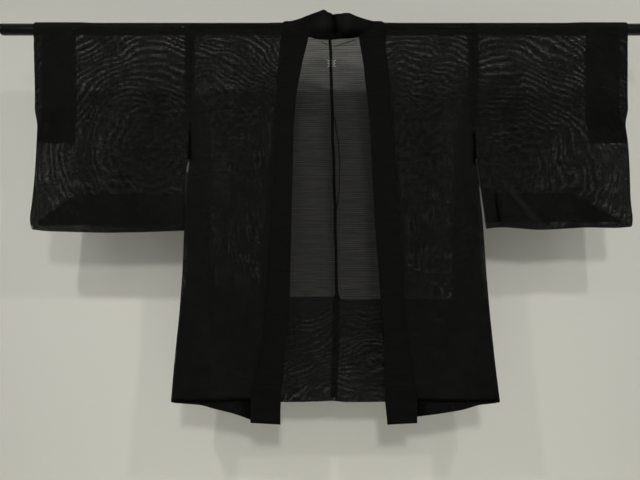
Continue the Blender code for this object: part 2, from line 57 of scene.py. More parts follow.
# Thickness of one layer of cloth, and how far apart the middles of neighbouring layers lie.
CLOTH = 0.0004
TURNED_CLOTH = 0.0003
COLLAR_CLOTH = 0.0018
SEAM_GAP = 0.0003
RIDE = 0.0136
QUARTER = RIDE * math.pi / 2
FACING_RIDE = 0.0134
CUFF_RIDE = 0.0148
LINING_STEP = 0.0014
STRIP_STEP = 0.0006
COLLAR_STEP = 0.0020
COLLAR_RIDE = 0.0165
COLLAR_DROP = 2.0
ROD_BLEND = 0.005
BLEND_REACH = 0.095
BLEND_FADE = 0.030
NECK_SPARE = 0.0006
NECK_REACH = 0.150
NECK_FADE = 0.030
BAG_GAP = 0.0005

# Driving sizes of the cut.
HALF_BODY = 0.311
WRIST_DEPTH = 0.208
CUFF_PART = 0.770
CUFF_END_PART = 0.9985
CUFF_FACING_DEPTH = 0.2525
COLLAR_LAP = 0.008
HEM_CREASE = -0.819
HEM_TURN_BACK = 0.35
HEM_LIP = 0.0035
HEM_SIDE_GAP = 0.0052
GUSSET_TOP = -0.223
GUSSET_FOLD = 0.004
SLEEVE_CLOSED = 0.0030
SLEEVE_SHUT = 0.0036
CENTRE_REACH = 0.09
CUFF_SWELL_START = 0.135
CUFF_SWELL_RUN = 0.040
CUFF_SWELL_FOOT = -0.300
CUFF_SWELL_FADE = 0.100
CLOSING_START = 0.178
CLOSING_RUN = 0.040
CLOSING_PART = 0.55
COLLAR_TIP_SLANT = 0.004
COLLAR_STRIP_LAP = 0.004
COLLAR_COLUMNS = 21
GUSSET_HEM = 0.355
GUSSET_STEP = 0.0005
HEM_STEP = 0.0085
CENTRE_STRIP_HALF = (0.0034, 0.0085)
SELVEDGE_BULGE = 0.0105
SELVEDGE_OFF = 0.003
SELVEDGE_HALF = 0.0009
STITCH_LIFT = 0.0004
ROD_SIDES = 96
ROD_STEPS = 8
WAVE_RUN_IN = 0.35

# Side seams of the body below the rod: how far out they hang at each height.
SIDE_SEAM = table(
    "z left right",
    (-0.84, -0.3515, 0.3675), (-0.73, -0.342, 0.3538), (-0.63, -0.3327, 0.3443),
    (-0.53, -0.3262, 0.3364), (-0.42, -0.3228, 0.3303), (-0.34, -0.3182, 0.322),
    (-0.29, -0.312, 0.3155), (-0.22, -0.311, 0.311), (0.02, -0.311, 0.311),
)

# How far the front and back stand from the rod's plane, beside the seams and towards the centre.
BODY_DEPTH = table(
    "z side front back",
    (-0.88, 0.029, 0.0185, 0.02), (-0.7, 0.026, 0.017, 0.018),
    (-0.54, 0.022, 0.016, 0.0165), (-0.4, 0.018, 0.015, 0.0155),
    (-0.22, 0.0142, 0.0142, 0.0145), (-0.06, RIDE, RIDE, RIDE),
    (0.02, RIDE, RIDE, RIDE),
)

# Shallow upright waves of the body: centre, half width and height of each, and where it starts.
BODY_WAVES = table(
    "leg x width rise start",
    ("front", -0.262, 0.034, 0.0024, -0.25), ("front", -0.212, 0.026, -0.0018, -0.18),
    ("front", 0.236, 0.036, 0.0022, -0.3), ("front", 0.292, 0.026, -0.0018, -0.22),
    ("back", -0.205, 0.05, 0.003, -0.3), ("back", -0.08, 0.042, -0.0022, -0.24),
    ("back", 0.11, 0.046, 0.0026, -0.28), ("back", 0.23, 0.044, -0.0024, -0.34),
)

# Soft creases: their line, half width and height. Those of "both" move front and back together,
# away from the front where the height is above 0; the others stand out from the rod's plane.
CREASES = table(
    "leg start end width rise",
    ("both", (0.3575, -0.345), (0.3765, -0.446), 0.0042, 0.006),
    ("both", (0.377, -0.344), (0.466, -0.443), 0.0058, -0.0066),
    ("both", (0.4, -0.345), (0.482, -0.44), 0.007, 0.002),
    ("both", (-0.352, -0.33), (-0.338, -0.446), 0.013, -0.0016),
    ("both", (-0.47, -0.3), (-0.425, -0.448), 0.022, 0.0016),
    ("both", (-0.57, -0.35), (-0.6, -0.448), 0.018, -0.0015),
    ("both", (0.56, -0.36), (0.59, -0.44), 0.018, 0.0014),
    ("front", (-0.4, -0.06), (-0.56, -0.33), 0.026, 0.0018),
    ("front", (-0.345, -0.09), (-0.43, -0.3), 0.018, -0.0014),
    ("front", (0.4, -0.05), (0.545, -0.3), 0.028, 0.0018),
    ("front", (0.35, -0.11), (0.42, -0.28), 0.016, -0.0013),
    ("front", (-0.575, -0.07), (-0.64, -0.21), 0.016, 0.0012),
    ("front", (0.588, -0.06), (0.64, -0.19), 0.015, 0.0012),
    ("front", (-0.29, -0.13), (-0.225, -0.42), 0.018, 0.0014),
    ("front", (-0.18, -0.07), (-0.205, -0.34), 0.013, -0.0012),
    ("front", (0.29, -0.12), (0.235, -0.44), 0.018, 0.0015),
    ("front", (0.19, -0.06), (0.215, -0.33), 0.014, -0.0012),
    ("front", (-0.3, -0.61), (-0.23, -0.815), 0.016, 0.0014),
    ("front", (0.31, -0.6), (0.255, -0.815), 0.017, 0.0014),
    ("back", (0.049, -0.42), (0.028, -0.6), 0.006, 0.0016),
    ("back", (0.07, -0.45), (0.052, -0.6), 0.007, -0.0014),
    ("back", (-0.05, -0.5), (-0.03, -0.64), 0.009, 0.0012),
    ("back", (-0.26, -0.06), (-0.13, -0.35), 0.024, 0.002),
    ("back", (0.265, -0.06), (0.14, -0.33), 0.024, 0.0019),
    ("back", (-0.31, -0.24), (-0.24, -0.62), 0.02, -0.0017),
    ("back", (0.31, -0.25), (0.255, -0.6), 0.02, -0.0016),
    ("back", (-0.16, -0.56), (-0.175, -0.825), 0.022, 0.0018),
    ("back", (0.17, -0.54), (0.15, -0.825), 0.021, 0.0017),
    ("back", (-0.4, -0.05), (-0.57, -0.3), 0.026, 0.0019),
    ("back", (-0.34, -0.16), (-0.42, -0.36), 0.017, -0.0014),
    ("back", (0.39, -0.06), (0.555, -0.32), 0.025, 0.0019),
    ("back", (0.345, -0.15), (0.43, -0.35), 0.017, -0.0014),
)

# Front hems: they drop towards the collar. Back hems run nearly level, with a nick at the centre.
FRONT_HEM = {
    "left": table(
        "x z",
        (-0.36, -0.822), (-0.285, -0.829), (-0.241, -0.8435), (-0.217, -0.853),
        (-0.165, -0.876),
    ),
    "right": table(
        "x z",
        (0.176, -0.863), (0.224, -0.8535), (0.288, -0.842), (0.323, -0.829),
        (0.37, -0.822),
    ),
}
BACK_HEM = table(
    "x z",
    (-0.36, -0.83), (-0.18, -0.836), (-0.03, -0.8345), (0.0, -0.833),
    (0.03, -0.836), (0.18, -0.837), (0.37, -0.831),
)

# Inner edge of each body panel over the shoulder, by the run of cloth from the rod's top line.
NECKLINE = table(
    "run left right",
    (-QUARTER / 4, 0.0, 0.0), (0.0, -0.088, 0.094), (QUARTER / 4, -0.096, 0.103),
    (QUARTER, -0.102, 0.108),
)

# At the neck the back cloth is drawn up over the rod: the height of its ridge along the rod.
NECK_RISE = table(
    "x z",
    (-0.095, RIDE), (-0.088, 0.0156), (-0.075, 0.0166), (-0.0617, 0.02),
    (-0.04, 0.029), (-0.018, 0.034), (0.0, 0.0335), (0.019, 0.0335),
    (0.035, 0.031), (0.0587, 0.0205), (0.075, 0.016), (0.094, 0.0152),
    (0.101, RIDE),
)

# The centre back seam wanders a little to the right on its way down.
CENTRE_SEAM = table(
    "z x",
    (-0.84, 0.005), (-0.7, 0.009), (-0.59, 0.0118), (-0.42, 0.0082),
    (-0.3, 0.005), (-0.216, 0.0022), (-0.12, 0.0004), (-0.08, -0.0022),
    (-0.045, -0.0014), (-0.017, -0.0034), (0.0, 0.0),
)

# Collar in front: the outer edge of its allowance, its fold, and how much of that is allowance.
COLLAR_FRONT = table(
    "z seam_left fold_left seam_right fold_right",
    (-0.868, -0.179, -0.1125, 0.187, 0.1215), (-0.815, -0.179, -0.1118, 0.187, 0.115),
    (-0.66, -0.1666, -0.097, 0.174, 0.114), (-0.59, -0.1609, -0.0922, 0.1676, 0.106),
    (-0.43, -0.1476, -0.0885, 0.1567, 0.0937), (-0.225, -0.1306, -0.0841, 0.1396, 0.0845),
    (-0.146, -0.1241, -0.0777, 0.1324, 0.0761), (-0.073, -0.118, -0.0634, 0.1232, 0.068),
    (-0.025, -0.1135, -0.0511, 0.118, 0.0589),
)
COLLAR_ALLOWANCE = table(
    "z left right",
    (-0.819, 0.001, 0.001), (-0.7, 0.018, 0.011), (-0.58, 0.019, 0.011), (-0.4, 0.013, 0.008),
    (-0.2, 0.009, 0.006), (-0.09, 0.001, 0.001),
)

# Collar round the neck: it is sewn to the ridge of the back cloth and falls in front of the rod.
# Each row gives its seam edge on top and its fold edge below, from the left front to the right.
COLLAR_NECK = table(
    "seam fold",
    ((-0.111, -0.0158, -0.008), (-0.0505, -0.0165, -0.024)),
    ((-0.1095, -0.0158, 0.002), (-0.0504, -0.0165, -0.0239)),
    ((-0.107, -0.0128, 0.01), (-0.0503, -0.0165, -0.0238)),
    ((-0.1, -0.004, 0.0155), (-0.05, -0.0165, -0.0236)),
    ((-0.087, -0.001, 0.019), (-0.049, -0.0165, -0.0236)),
    ((-0.072, 0.0005, 0.0242), (-0.047, -0.0165, -0.0242)),
    ((-0.055, 0.003, 0.032), (-0.042, -0.0167, -0.026)),
    ((-0.036, 0.006, 0.0405), (-0.033, -0.017, -0.0286)),
    ((-0.019, 0.0075, 0.046), (-0.02, -0.0172, -0.03)),
    ((-0.008, 0.0075, 0.042), (-0.008, -0.0173, -0.0302)),
    ((0.006, 0.0072, 0.0384), (0.005, -0.0172, -0.0292)),
    ((0.019, 0.0075, 0.0386), (0.018, -0.017, -0.0272)),
    ((0.032, 0.007, 0.0394), (0.031, -0.0168, -0.0258)),
    ((0.046, 0.005, 0.035), (0.042, -0.0167, -0.0247)),
    ((0.063, 0.0025, 0.0282), (0.051, -0.0165, -0.024)),
    ((0.08, 0.001, 0.0222), (0.0555, -0.0165, -0.0236)),
    ((0.095, -0.0015, 0.0174), (0.0575, -0.0165, -0.0236)),
    ((0.108, -0.0075, 0.014), (0.0583, -0.0165, -0.0238)),
    ((0.114, -0.013, 0.0098), (0.0586, -0.0165, -0.024)),
    ((0.1157, -0.0158, 0.002), (0.0587, -0.0165, -0.0242)),
    ((0.1165, -0.0158, -0.008), (0.0588, -0.0165, -0.0244)),
)
NECK_STEPS = 4
# How much painted shade a neck fold gets for each metre of its depth, and painted light for each metre of
# its rise.
NECK_SHADE = 115.0
# Soft folds of the collar at the neck: the middle at a height, lean, half width above and below,
# and how far they press in; a rise stands out.
NECK_FOLDS = table(
    "x lean top foot depth low high",
    (0.0068, -0.12, 0.0026, 0.0085, 0.0058, -0.014, 0.06),
    (0.033, 0.3, 0.01, 0.013, -0.0042, -0.014, 0.06),
    (0.098, 1.6, 0.015, 0.015, 0.0046, -0.04, -0.002),
    (-0.02, 0.1, 0.006, 0.015, -0.004, -0.01, 0.06),
    (-0.052, 1.0, 0.007, 0.009, 0.0016, 0.0, 0.04),
)

# Turned-up hems: where their upper edges lie.
HEM_TOP = dict(front_left=-0.580, front_right=-0.598, back_left=-0.597, back_right=-0.603)

# Sleeves: outer edge, the inner edge (free below the armhole), and half the bag's depth.
SLEEVE_EDGE = {
    "left": table(
        "z outer inner",
        (-0.452, -0.663, -0.325), (-0.429, -0.672, -0.325), (-0.38, -0.665, -0.3245),
        (-0.325, -0.6595, -0.3225), (-0.29, -0.657, -0.3165), (-0.25, -0.655, -0.313),
        (-0.208, -0.653, -HALF_BODY), (-0.16, -0.6525, -HALF_BODY), (-0.05, -0.655, -HALF_BODY),
        (0.02, -0.6565, -HALF_BODY),
    ),
    "right": table(
        "z outer inner",
        (-0.452, 0.663, 0.347), (-0.429, 0.6695, 0.342), (-0.38, 0.664, 0.3334),
        (-0.325, 0.662, 0.3245), (-0.29, 0.66, 0.319), (-0.25, 0.657, 0.315),
        (-0.208, 0.651, HALF_BODY), (-0.16, 0.65, HALF_BODY), (-0.05, 0.6502, HALF_BODY),
        (0.02, 0.6511, HALF_BODY),
    ),
}
# How much further out the back's free inner edge hangs than the front's.
SLEEVE_GAPE = {
    "left": table(
        "z out",
        (-0.318, 0.0), (-0.312, 0.007), (-0.296, 0.007), (-0.288, 0.0),
    ),
    "right": table(
        "z out",
        (-0.436, 0.0), (-0.4, 0.004), (-0.352, 0.006), (-0.338, 0.0),
        (-0.318, 0.0), (-0.312, 0.005), (-0.3, 0.005), (-0.292, 0.0),
    ),
}
SLEEVE_BOTTOM = {
    "left": table(
        "x z",
        (-0.672, -0.443), (-0.64, -0.4475), (-0.51, -0.4511), (-0.418, -0.4496),
        (-0.32, -0.446),
    ),
    "right": table(
        "x z",
        (0.34, -0.4428), (0.374, -0.438), (0.465, -0.445), (0.568, -0.439),
        (0.64, -0.4405), (0.67, -0.437),
    ),
}
SLEEVE_DEPTH = table(
    "z half",
    (-0.452, SLEEVE_CLOSED), (-0.435, 0.0045), (-0.405, 0.008),
    (-0.34, 0.012), (-0.22, 0.0142), (-0.06, RIDE),
    (0.02, RIDE),
)

# Allowance kept inside each sleeve's bottom: its outer edge slants to the sleeve's corner.
SLEEVE_HEM = {
    "left": table(
        "z outer",
        (-0.436, -0.654), (-0.424, -0.65), (-0.41, -0.6289), (-0.38, -0.5836),
        (-0.367, -0.564),
    ),
    "right": table(
        "z outer",
        (-0.429, 0.648), (-0.42, 0.634), (-0.41, 0.6153), (-0.38, 0.5591),
        (-0.365, 0.531),
    ),
}

# Allowances of the side seams, folded in beside the seam: their outer and inner edges.
SIDE_ALLOWANCE = {
    "left": table(
        "z outer inner",
        (-0.81, -0.3462, -0.262), (-0.7, -0.3362, -0.262), (-0.6, -0.3278, -0.2615),
        (-0.54, -0.315, -0.266), (-0.43, -0.3205, -0.271), (-0.34, -0.3165, -0.2725),
        (-0.29, -0.3105, -0.2725), (-0.225, -0.308, -0.2725), (-0.15, -0.309, -0.295),
    ),
    "right": table(
        "z outer inner",
        (-0.81, 0.3625, 0.272), (-0.7, 0.349, 0.2725), (-0.6, 0.339, 0.2735),
        (-0.55, 0.3275, 0.2735), (-0.38, 0.32, 0.2735), (-0.235, 0.309, 0.2755),
        (-0.16, 0.3095, 0.293),
    ),
}
# How far an armhole's allowances reach into the sleeve and into the body, behind and in front.
ARMHOLE_STRIP = ((0.0145, 0.0030), (0.0130, 0.0095))
# How much paler a crease's ridge is painted, and how much darker its valley, for each metre of its height:
# painted light and shade.
CREASE_LIGHT = 110.0
# Painted light: how much paler the cloth is painted on top of the rod than beneath it.
ROD_LIGHT = 0.34
# A side seam's back allowance is widened a little past the seam into the slit below the armhole, a dark
# sheet standing in for the slit's shade.
SLIT_TOP = -0.222
SLIT_FOOT = -0.292
SLIT_SHADE_SHEET = 0.0155
# How dark the painted shade is in a slit, the painted shadow line under the front hem's crease, and the
# painted shade on the hem by the collar.
SLIT_DARK = 0.95
LIP_DARK = 0.8
COLLAR_DARK = 0.5
# The painted shade in each slit: its place across, how far down it reaches and half its width.
SLIT_SHADE = dict(left=(-0.3112, -0.300, 0.0034), right=(0.3128, -0.306, 0.0032))

# Small waves of loose edges: the height, rate and start of each.
RIPPLES = dict(
    collar_left=((0.0016, 21.0, 1.0), (0.0010, 47.0, 2.0)),
    collar_right=((0.0016, 21.0, 1.9), (0.0010, 47.0, 3.8)),
    collar_strip=((0.0005, 41.0, 0.0), (0.0004, 93.0, 2.0)),
    armhole=((0.0006, 46.0, 0.0), (0.0004, 101.0, 1.0)),
    side_front=((0.0007, 33.0, 1.0), (0.0005, 79.0, 0.0)),
    side_back=((0.0007, 33.0, -1.0), (0.0005, 79.0, 0.0)),
    centre=((0.0005, 60.0, 0.0),),
    selvedge=((0.0006, 120.0, 0.0),),
)
# Fine ripples of the hanging cloth: height, rate across, rate up, and part of the leg's turn.
CLOTH_RIPPLE = 0.00045
CLOTH_RIPPLES = ((1.0, 71.0, 9.0, 1.0), (1.0, -38.0, 27.0, 2.1), (0.6, 117.0, -21.0, 0.7))
RIPPLE_TURN = dict(front=1.0, back=2.3)

# Stitches on the back below the neck: both ends of each line, across and up, and its count.
NECK_TACKS = [((-0.0215, -0.0228), (-0.0068, -0.0296), 5), ((0.0090, -0.0320), (0.0532, -0.0172), 13)]
BACK_TACK = [
    ((-0.0070, -0.0640), (0.0072, -0.0640), 3),
    ((-0.0046, -0.0672), (0.0048, -0.0672), 2),
    ((-0.0070, -0.0704), (0.0072, -0.0704), 3),
    ((-0.0046, -0.0736), (0.0048, -0.0736), 2),
    ((-0.0070, -0.0768), (0.0072, -0.0768), 3),
]

# How finely the cloth is laid out, and where its rows run close together.
BODY_COLUMNS = 46
SLEEVE_COLUMNS = 96
LEG_TOP = -0.022
BACK_FOOT = -0.806
HEM_PARTS = (0.04, 0.10, 0.2, 0.35, 0.5, 0.65, 0.8, 0.92, 1.0)
SLEEVE_LOW = -0.436
# The fold of a turned hem under the panel's edge: how far out and how far down.
HEM_FOLD = ((0.0003, 0.0004), (0.0008, 0.0007), (0.0014, 0.0007))
# The sleeve's rounded bottom, from front to back: part of its half depth, and height.
SLEEVE_TURN = ((-1.0, 0.0), (-0.6, -0.0012), (0.0, -0.0018), (0.6, -0.0012), (1.0, 0.0))
# Length of a sleeve's cloth from the rod down to its bottom, and down and up again.
SLEEVE_FOOT_RUN = 0.458
SLEEVE_WHOLE_RUN = 0.905
# Parts of a sleeve's width at which its cuff's facing has its rows, close together at the edge.
CUFF_PARTS = (0.985, 14, [0.992, 0.9965, CUFF_END_PART])
# Rows of a panel on each side of the rod, from where the cloth leaves it.
SHOULDER_STEPS = (0.002, 0.006, 0.011, 0.017)
# Where the rows of the collar lie in front: top or foot of each stretch, and its count.
COLLAR_STRETCHES = ((-0.868, -0.822, 7), (-0.812, -0.025, 88))
# Top, foot and number of rows of each strip of allowances.
CENTRE_STRIP = (-0.004, -0.826, 140)
SELVEDGE_STRIP = (-0.190, -0.400, 60)
SIDE_STRIP = (-0.150, -0.812, 110)
COLLAR_STRIP = (-0.095, -0.812, 110)
# Where a sleeve's cloth lets a little less light through at its foot, and by how much.
SLEEVE_FOOT_CLOSING = dict(left=(0.556, 0.02), right=(0.530, 0.08))

# Shades of the yarn, how much light one layer lets pass, and the watered look of two layers.
CLOTH_DARK = (0.0068, 0.0068, 0.0061)
CLOTH_PALE = (0.0230, 0.0234, 0.0208)
FACE_PASS = 0.416
WATERING = table(
    "name centre wander watering closing fall",
    ("sheer cloth body left", (-0.25, 0.29), 6.0, 1.2, 0.50, 1.0),
    ("sheer cloth body right", (0.21, 0.31), 6.0, 1.05, 0.48, 0.9),
    ("sheer cloth sleeve left", (-0.36, 0.33), 3.2, 1.3, 0.46, 0.3),
    ("sheer cloth sleeve right", (0.41, 0.38), 3.4, 1.25, 0.44, 0.3),
)

LAMPS = table(
    "name kind spot aim size power cone long",
    ("left_lamp", "SPOT", (-0.91, -1.25, 0.914), (-0.45, 0.15, -1.15), 0.10, 36.0, 72.0, None),
    ("right_lamp", "AREA", (0.79, -1.25, 0.914), (0.15, 0.0, -0.35), 0.10, 6.4, None, None),
    ("front_lamp", "SPOT", (0.10, -2.60, 0.95), (0.10, 0.15, -1.0), 0.30, 83.0, 50.0, None),
    ("rod_lamp_left", "AREA", (-1.055, -0.60, 0.085), (-0.70, 0.0, 0.0), 0.42, 0.62, None, 0.18),
    ("rod_lamp_right", "AREA", (1.055, -0.60, 0.085), (0.70, 0.0, 0.0), 0.42, 0.62, None, 0.18),
    ("back_lamp", "AREA", (0.6, 2.2, 0.9), (0.0, 0.0, -0.4), 1.2, 40.0, None, None),
)

SIGN = dict(left=-1.0, right=1.0)
AHEAD = dict(front=1.0, back=-1.0)


def mix(start, end, part):
    """The value a part of the way from start to end."""
    return start + (end - start) * part


def ease(part):
    """A part from 0 to 1, eased at both ends."""
    part = min(max(part, 0.0), 1.0)
    return part * part * (3.0 - 2.0 * part)


def bell(offset, power=2):
    """A soft hump: 1 in its middle and near 0 past an offset of 2."""
    return math.exp(-(offset**power))


def ripple(name, at):
    """How far the small waves of a loose edge move it at a point along it."""
    return sum(height * math.sin(at * rate + start) for height, rate, start in RIPPLES[name])


def side_of(x):
    """The side of the jacket on which a point lies."""
    return "left" if x < 0 else "right"


def read(rows, column, at):
    """A table's column, read between its rows by the first column."""
    key = next(iter(rows[0]))
    return float(np.interp(at, [row[key] for row in rows], [row[column] for row in rows]))


def read_soft(rows, column, at, reach=0.016):
    """A table's column with the corners between its rows eased."""
    reads = [read(rows, column, at + reach * step) for step in (-1.0, -0.5, 0.0, 0.5, 1.0)]
    return (reads[0] + reads[1] * 2 + reads[2] * 2 + reads[3] * 2 + reads[4]) / 8


def spread(start, end, count):
    """Evenly spaced values from start to end."""
    return [mix(start, end, step / (count - 1)) for step in range(count)]


# Rows of cloth over the rod, and down a sleeve.
ROD_RUNS = [QUARTER * step / ROD_STEPS for step in range(-ROD_STEPS, ROD_STEPS + 1)]
SLEEVE_HEIGHTS = spread(-0.006, -0.172, 20) + spread(-0.178, -0.214, 8) + spread(-0.221, SLEEVE_LOW, 27)


def crease_height(crease, x, z):
    """A crease's height at a point: it widens along its line and fades out past both ends."""
    start, end = Vector(crease["start"]), Vector(crease["end"])
    along = end - start
    offset = Vector((x, z)) - start
    part = offset.dot(along) / along.length_squared
    if part < -0.3 or part > 1.3:
        return 0.0
    away = (offset - along * part).length / (crease["width"] * (0.6 + 0.8 * min(max(part, 0), 1)))
    if away > 3.0:
        return 0.0
    return crease["rise"] * bell(away, 1.7) * ease((part + 0.25) / 0.5) * ease((1.25 - part) / 0.4)


def sway(leg, x, z):
    """How far the cloth of a leg is moved along Y by its creases and small ripples."""
    out, shift = 0.0, 0.0
    for crease in CREASES:
        if crease["leg"] == "both":
            shift += crease_height(crease, x, z)
        elif crease["leg"] == leg:
            out += crease_height(crease, x, z)
    turn = RIPPLE_TURN[leg]
    fine = sum(part * math.sin(a * x + b * z + c * turn) for part, a, b, c in CLOTH_RIPPLES)
    out = (out + CLOTH_RIPPLE * fine) * ease((-z - 0.03) / 0.09)
    return shift - AHEAD[leg] * out


def slit_shade(x, z):
    """How deep a point lies in the painted shade of the slit below an armhole."""
    middle, foot, half = SLIT_SHADE[side_of(x)]
    narrow = half * mix(0.55, 1.0, ease((SLIT_TOP - z) / 0.05))
    return ease((SLIT_TOP - z) / 0.006) * ease((z - foot) / 0.006) * bell((x - middle) / narrow, 4)


def paint_light_and_shade(leg, x, z):
    """Painted light and shade: paler on the ridges and darker in the valleys of the creases, paler on top
    of the rod, and darker in the slits, under the front hem's crease and beside the collar.
    """
    out = 0.0
    for crease in CREASES:
        if crease["leg"] in (leg, "both"):
            out += crease_height(crease, x, z) * (1 if leg == crease["leg"] == "front" else -1)
    out *= CREASE_LIGHT
    # Painted light on the cloth over the top of the rod.
    if z > -0.018:
        out += ROD_LIGHT * ease((z + 0.002) / 0.004)
    # Painted shade in the slit below the armhole.
    out -= SLIT_DARK * slit_shade(x, z)
    if leg == "front":
        # A painted shadow line under the front hem's crease, and painted shade on the hem beside the
        # collar.
        lip_shadow = ease((HEM_CREASE + 0.0010 - z) / 0.001) * ease((z - HEM_CREASE + 0.0045) / 0.002)
        beside = abs(x - collar_seam(side_of(x), z))
        collar_shade = ease((HEM_CREASE - z) / 0.002) * ease((0.034 - beside) / 0.026)
        out -= LIP_DARK * lip_shadow + COLLAR_DARK * collar_shade * (1.0 - lip_shadow)
    return out


def body_depth(leg, x, z):
    """How far the front or back cloth stands from the rod's plane, with its shallow waves."""
    side = read_soft(SIDE_SEAM, side_of(x), z)
    outward = ease((abs(x) - CENTRE_REACH) / (abs(side) - CENTRE_REACH))
    depth = mix(read_soft(BODY_DEPTH, leg, z), read_soft(BODY_DEPTH, "side", z), outward)
    if leg == "front" and z < HEM_CREASE:
        depth -= (HEM_CREASE - z) * HEM_TURN_BACK + HEM_LIP * ease((HEM_CREASE - z) / 0.004)
    out = 0.0
    for wave in BODY_WAVES:
        if wave["leg"] == leg and z <= wave["start"]:
            across = bell((x - wave["x"]) / wave["width"])
            out += wave["rise"] * across * ease((wave["start"] - z) / WAVE_RUN_IN)
    return depth + out


def cloth_y(leg, x, z, inward=0.0):
    """Where the body's cloth lies along Y, moved inward by a distance."""
    return -AHEAD[leg] * (body_depth(leg, x, z) - inward) + sway(leg, x, z)


def body_point(x, run, inward=0.0):
    """A point of the body's cloth: run is measured over the rod, positive in front."""
    if abs(run) <= QUARTER:
        angle = run / RIDE
        ride = RIDE - inward + NECK_SPARE * ease((NECK_REACH - abs(x)) / NECK_FADE)
        rise = max(read_soft(NECK_RISE, "z", x, reach=0.006), ride) if run <= 0 else ride
        return Vector((x, -ride * math.sin(angle), rise * math.cos(angle)))
    z = QUARTER - abs(run)
    return Vector((x, cloth_y(body_leg(x, run), x, z, inward), z))


def collar_seam(side, z):
    """Where the collar is sewn to a front at a height."""
    allowance = read_soft(COLLAR_ALLOWANCE, side, z)
    return read_soft(COLLAR_FRONT, "seam_" + side, z) - SIGN[side] * allowance


def body_inner(side, run):
    """Inner edge of a body panel at a run of its cloth."""
    if run <= NECKLINE[0]["run"]:
        seam = read_soft(CENTRE_SEAM, "x", min(QUARTER + run, 0.0), reach=0.006)
        return SIGN[side] * SEAM_GAP / 2 + seam
    if run <= QUARTER:
        return read(NECKLINE, side, run)
    z = QUARTER - run
    under = collar_seam(side, z) - SIGN[side] * COLLAR_LAP
    return mix(read(NECKLINE, side, run), under, ease(-z / 0.03))


def body_edges(side, run, gap=0.0):
    """Outer and inner edge of a body panel at a run of its cloth, and a gap kept at its side."""
    outer = read_soft(SIDE_SEAM, side, min(QUARTER - abs(run), 0.0)) - SIGN[side] * SEAM_GAP / 2
    return outer - SIGN[side] * gap, body_inner(side, run)


def hem_run(leg, side, x):
    """The run at which a panel's hem lies."""
    if leg == "front":
        return QUARTER - read_soft(FRONT_HEM[side], "z", x, reach=0.008)
    return read_soft(BACK_HEM, "z", x, reach=0.004) - QUARTER


def body_row(side, edge, runs, inward=0.0, gap=0.0):
    """One section across a body panel, and the places of its points on the cloth."""
    place = list(zip(spread(*body_edges(side, edge, gap), len(runs)), runs))
    return [body_point(x, run, inward) for x, run in place], place


def body_rows(leg, side, top, inward=0.0, gap=0.0):
    """Sections of one leg of a body panel from a height down to its hem, with their places."""
    foot = HEM_CREASE if leg == "front" else BACK_FOOT
    heights = spread(top, foot, max(int((top - foot) / HEM_STEP), 3))
    rows = []
    for z in heights:
        run = AHEAD[leg] * (QUARTER - z)
        rows.append(body_row(side, run, [run] * BODY_COLUMNS, inward, gap))
    for part in HEM_PARTS:
        runs = [mix(run, hem_run(leg, side, place[0]), part) for place in rows[len(heights) - 1][1]]
        rows.append(body_row(side, run, runs, inward, gap))
    return [list(each) for each in zip(*rows)]


def sleeve_ride(side, x):
    """Radius at which a sleeve rides over the rod: wider where the cuff's facing lies under it."""
    outer = abs(read(SLEEVE_EDGE[side], "outer", 0.0))
    return mix(RIDE, CUFF_RIDE, ease((abs(x) - outer + CUFF_SWELL_START) / CUFF_SWELL_RUN))


def sleeve_depth(side, part, x, z):
    """Half the sleeve's depth at a height: it closes at the bottom and below the wrist."""
    spare = sleeve_ride(side, x) - RIDE
    half = read_soft(SLEEVE_DEPTH, "half", z) + spare * ease((z - CUFF_SWELL_FOOT) / CUFF_SWELL_FADE)
    below = ease((-z - CLOSING_START) / CLOSING_RUN)
    outward = ease((part - CLOSING_PART) / (1.0 - CLOSING_PART))
    return mix(half, min(half, SLEEVE_SHUT), below * outward)


def sleeve_x(side, part, inner, z):
    """A point across a sleeve, from its inner edge at 0 to its outer edge at 1."""
    return mix(inner + SIGN[side] * SEAM_GAP / 2, read_soft(SLEEVE_EDGE[side], "outer", z), part)


def sleeve_point(side, part, z, leg, inward=0.0):
    """A point of a sleeve's leg, moved inward by a distance."""
    inner = read_soft(SLEEVE_EDGE[side], "inner", z)
    if leg == "back":
        inner += SIGN[side] * read(SLEEVE_GAPE[side], "out", z)
    x = sleeve_x(side, part, inner, z)
    depth = sleeve_depth(side, part, x, z) - inward
    return Vector((x, -AHEAD[leg] * depth + sway(leg, x, z), z))


def sleeve_arc(side, part, radius=None):
    """A sleeve's points where it rides over the rod."""
    x = sleeve_x(side, part, read(SLEEVE_EDGE[side], "inner", 0.0), 0.0)
    radius = radius or sleeve_ride(side, x)
    turns = [run / RIDE for run in ROD_RUNS]
    return [Vector((x, -radius * math.sin(turn), radius * math.cos(turn))) for turn in turns]


def sleeve_ring(side, part):
    """One closed section round a sleeve: down the front, along the bottom and up the back."""
    over = sleeve_arc(side, part)
    front = [sleeve_point(side, part, z, "front") for z in SLEEVE_HEIGHTS]
    back = [sleeve_point(side, part, z, "back") for z in reversed(SLEEVE_HEIGHTS)]
    low = front[-1]
    foot = sleeve_point(side, part, read_soft(SLEEVE_BOTTOM[side], "z", low.x), "front")
    slide = sway("front", foot.x, foot.z)
    turn = [Vector((foot.x, y * SLEEVE_CLOSED + slide, foot.z + lift)) for y, lift in SLEEVE_TURN]
    return over[ROD_STEPS:] + front + turn + back + over[:ROD_STEPS + 1]


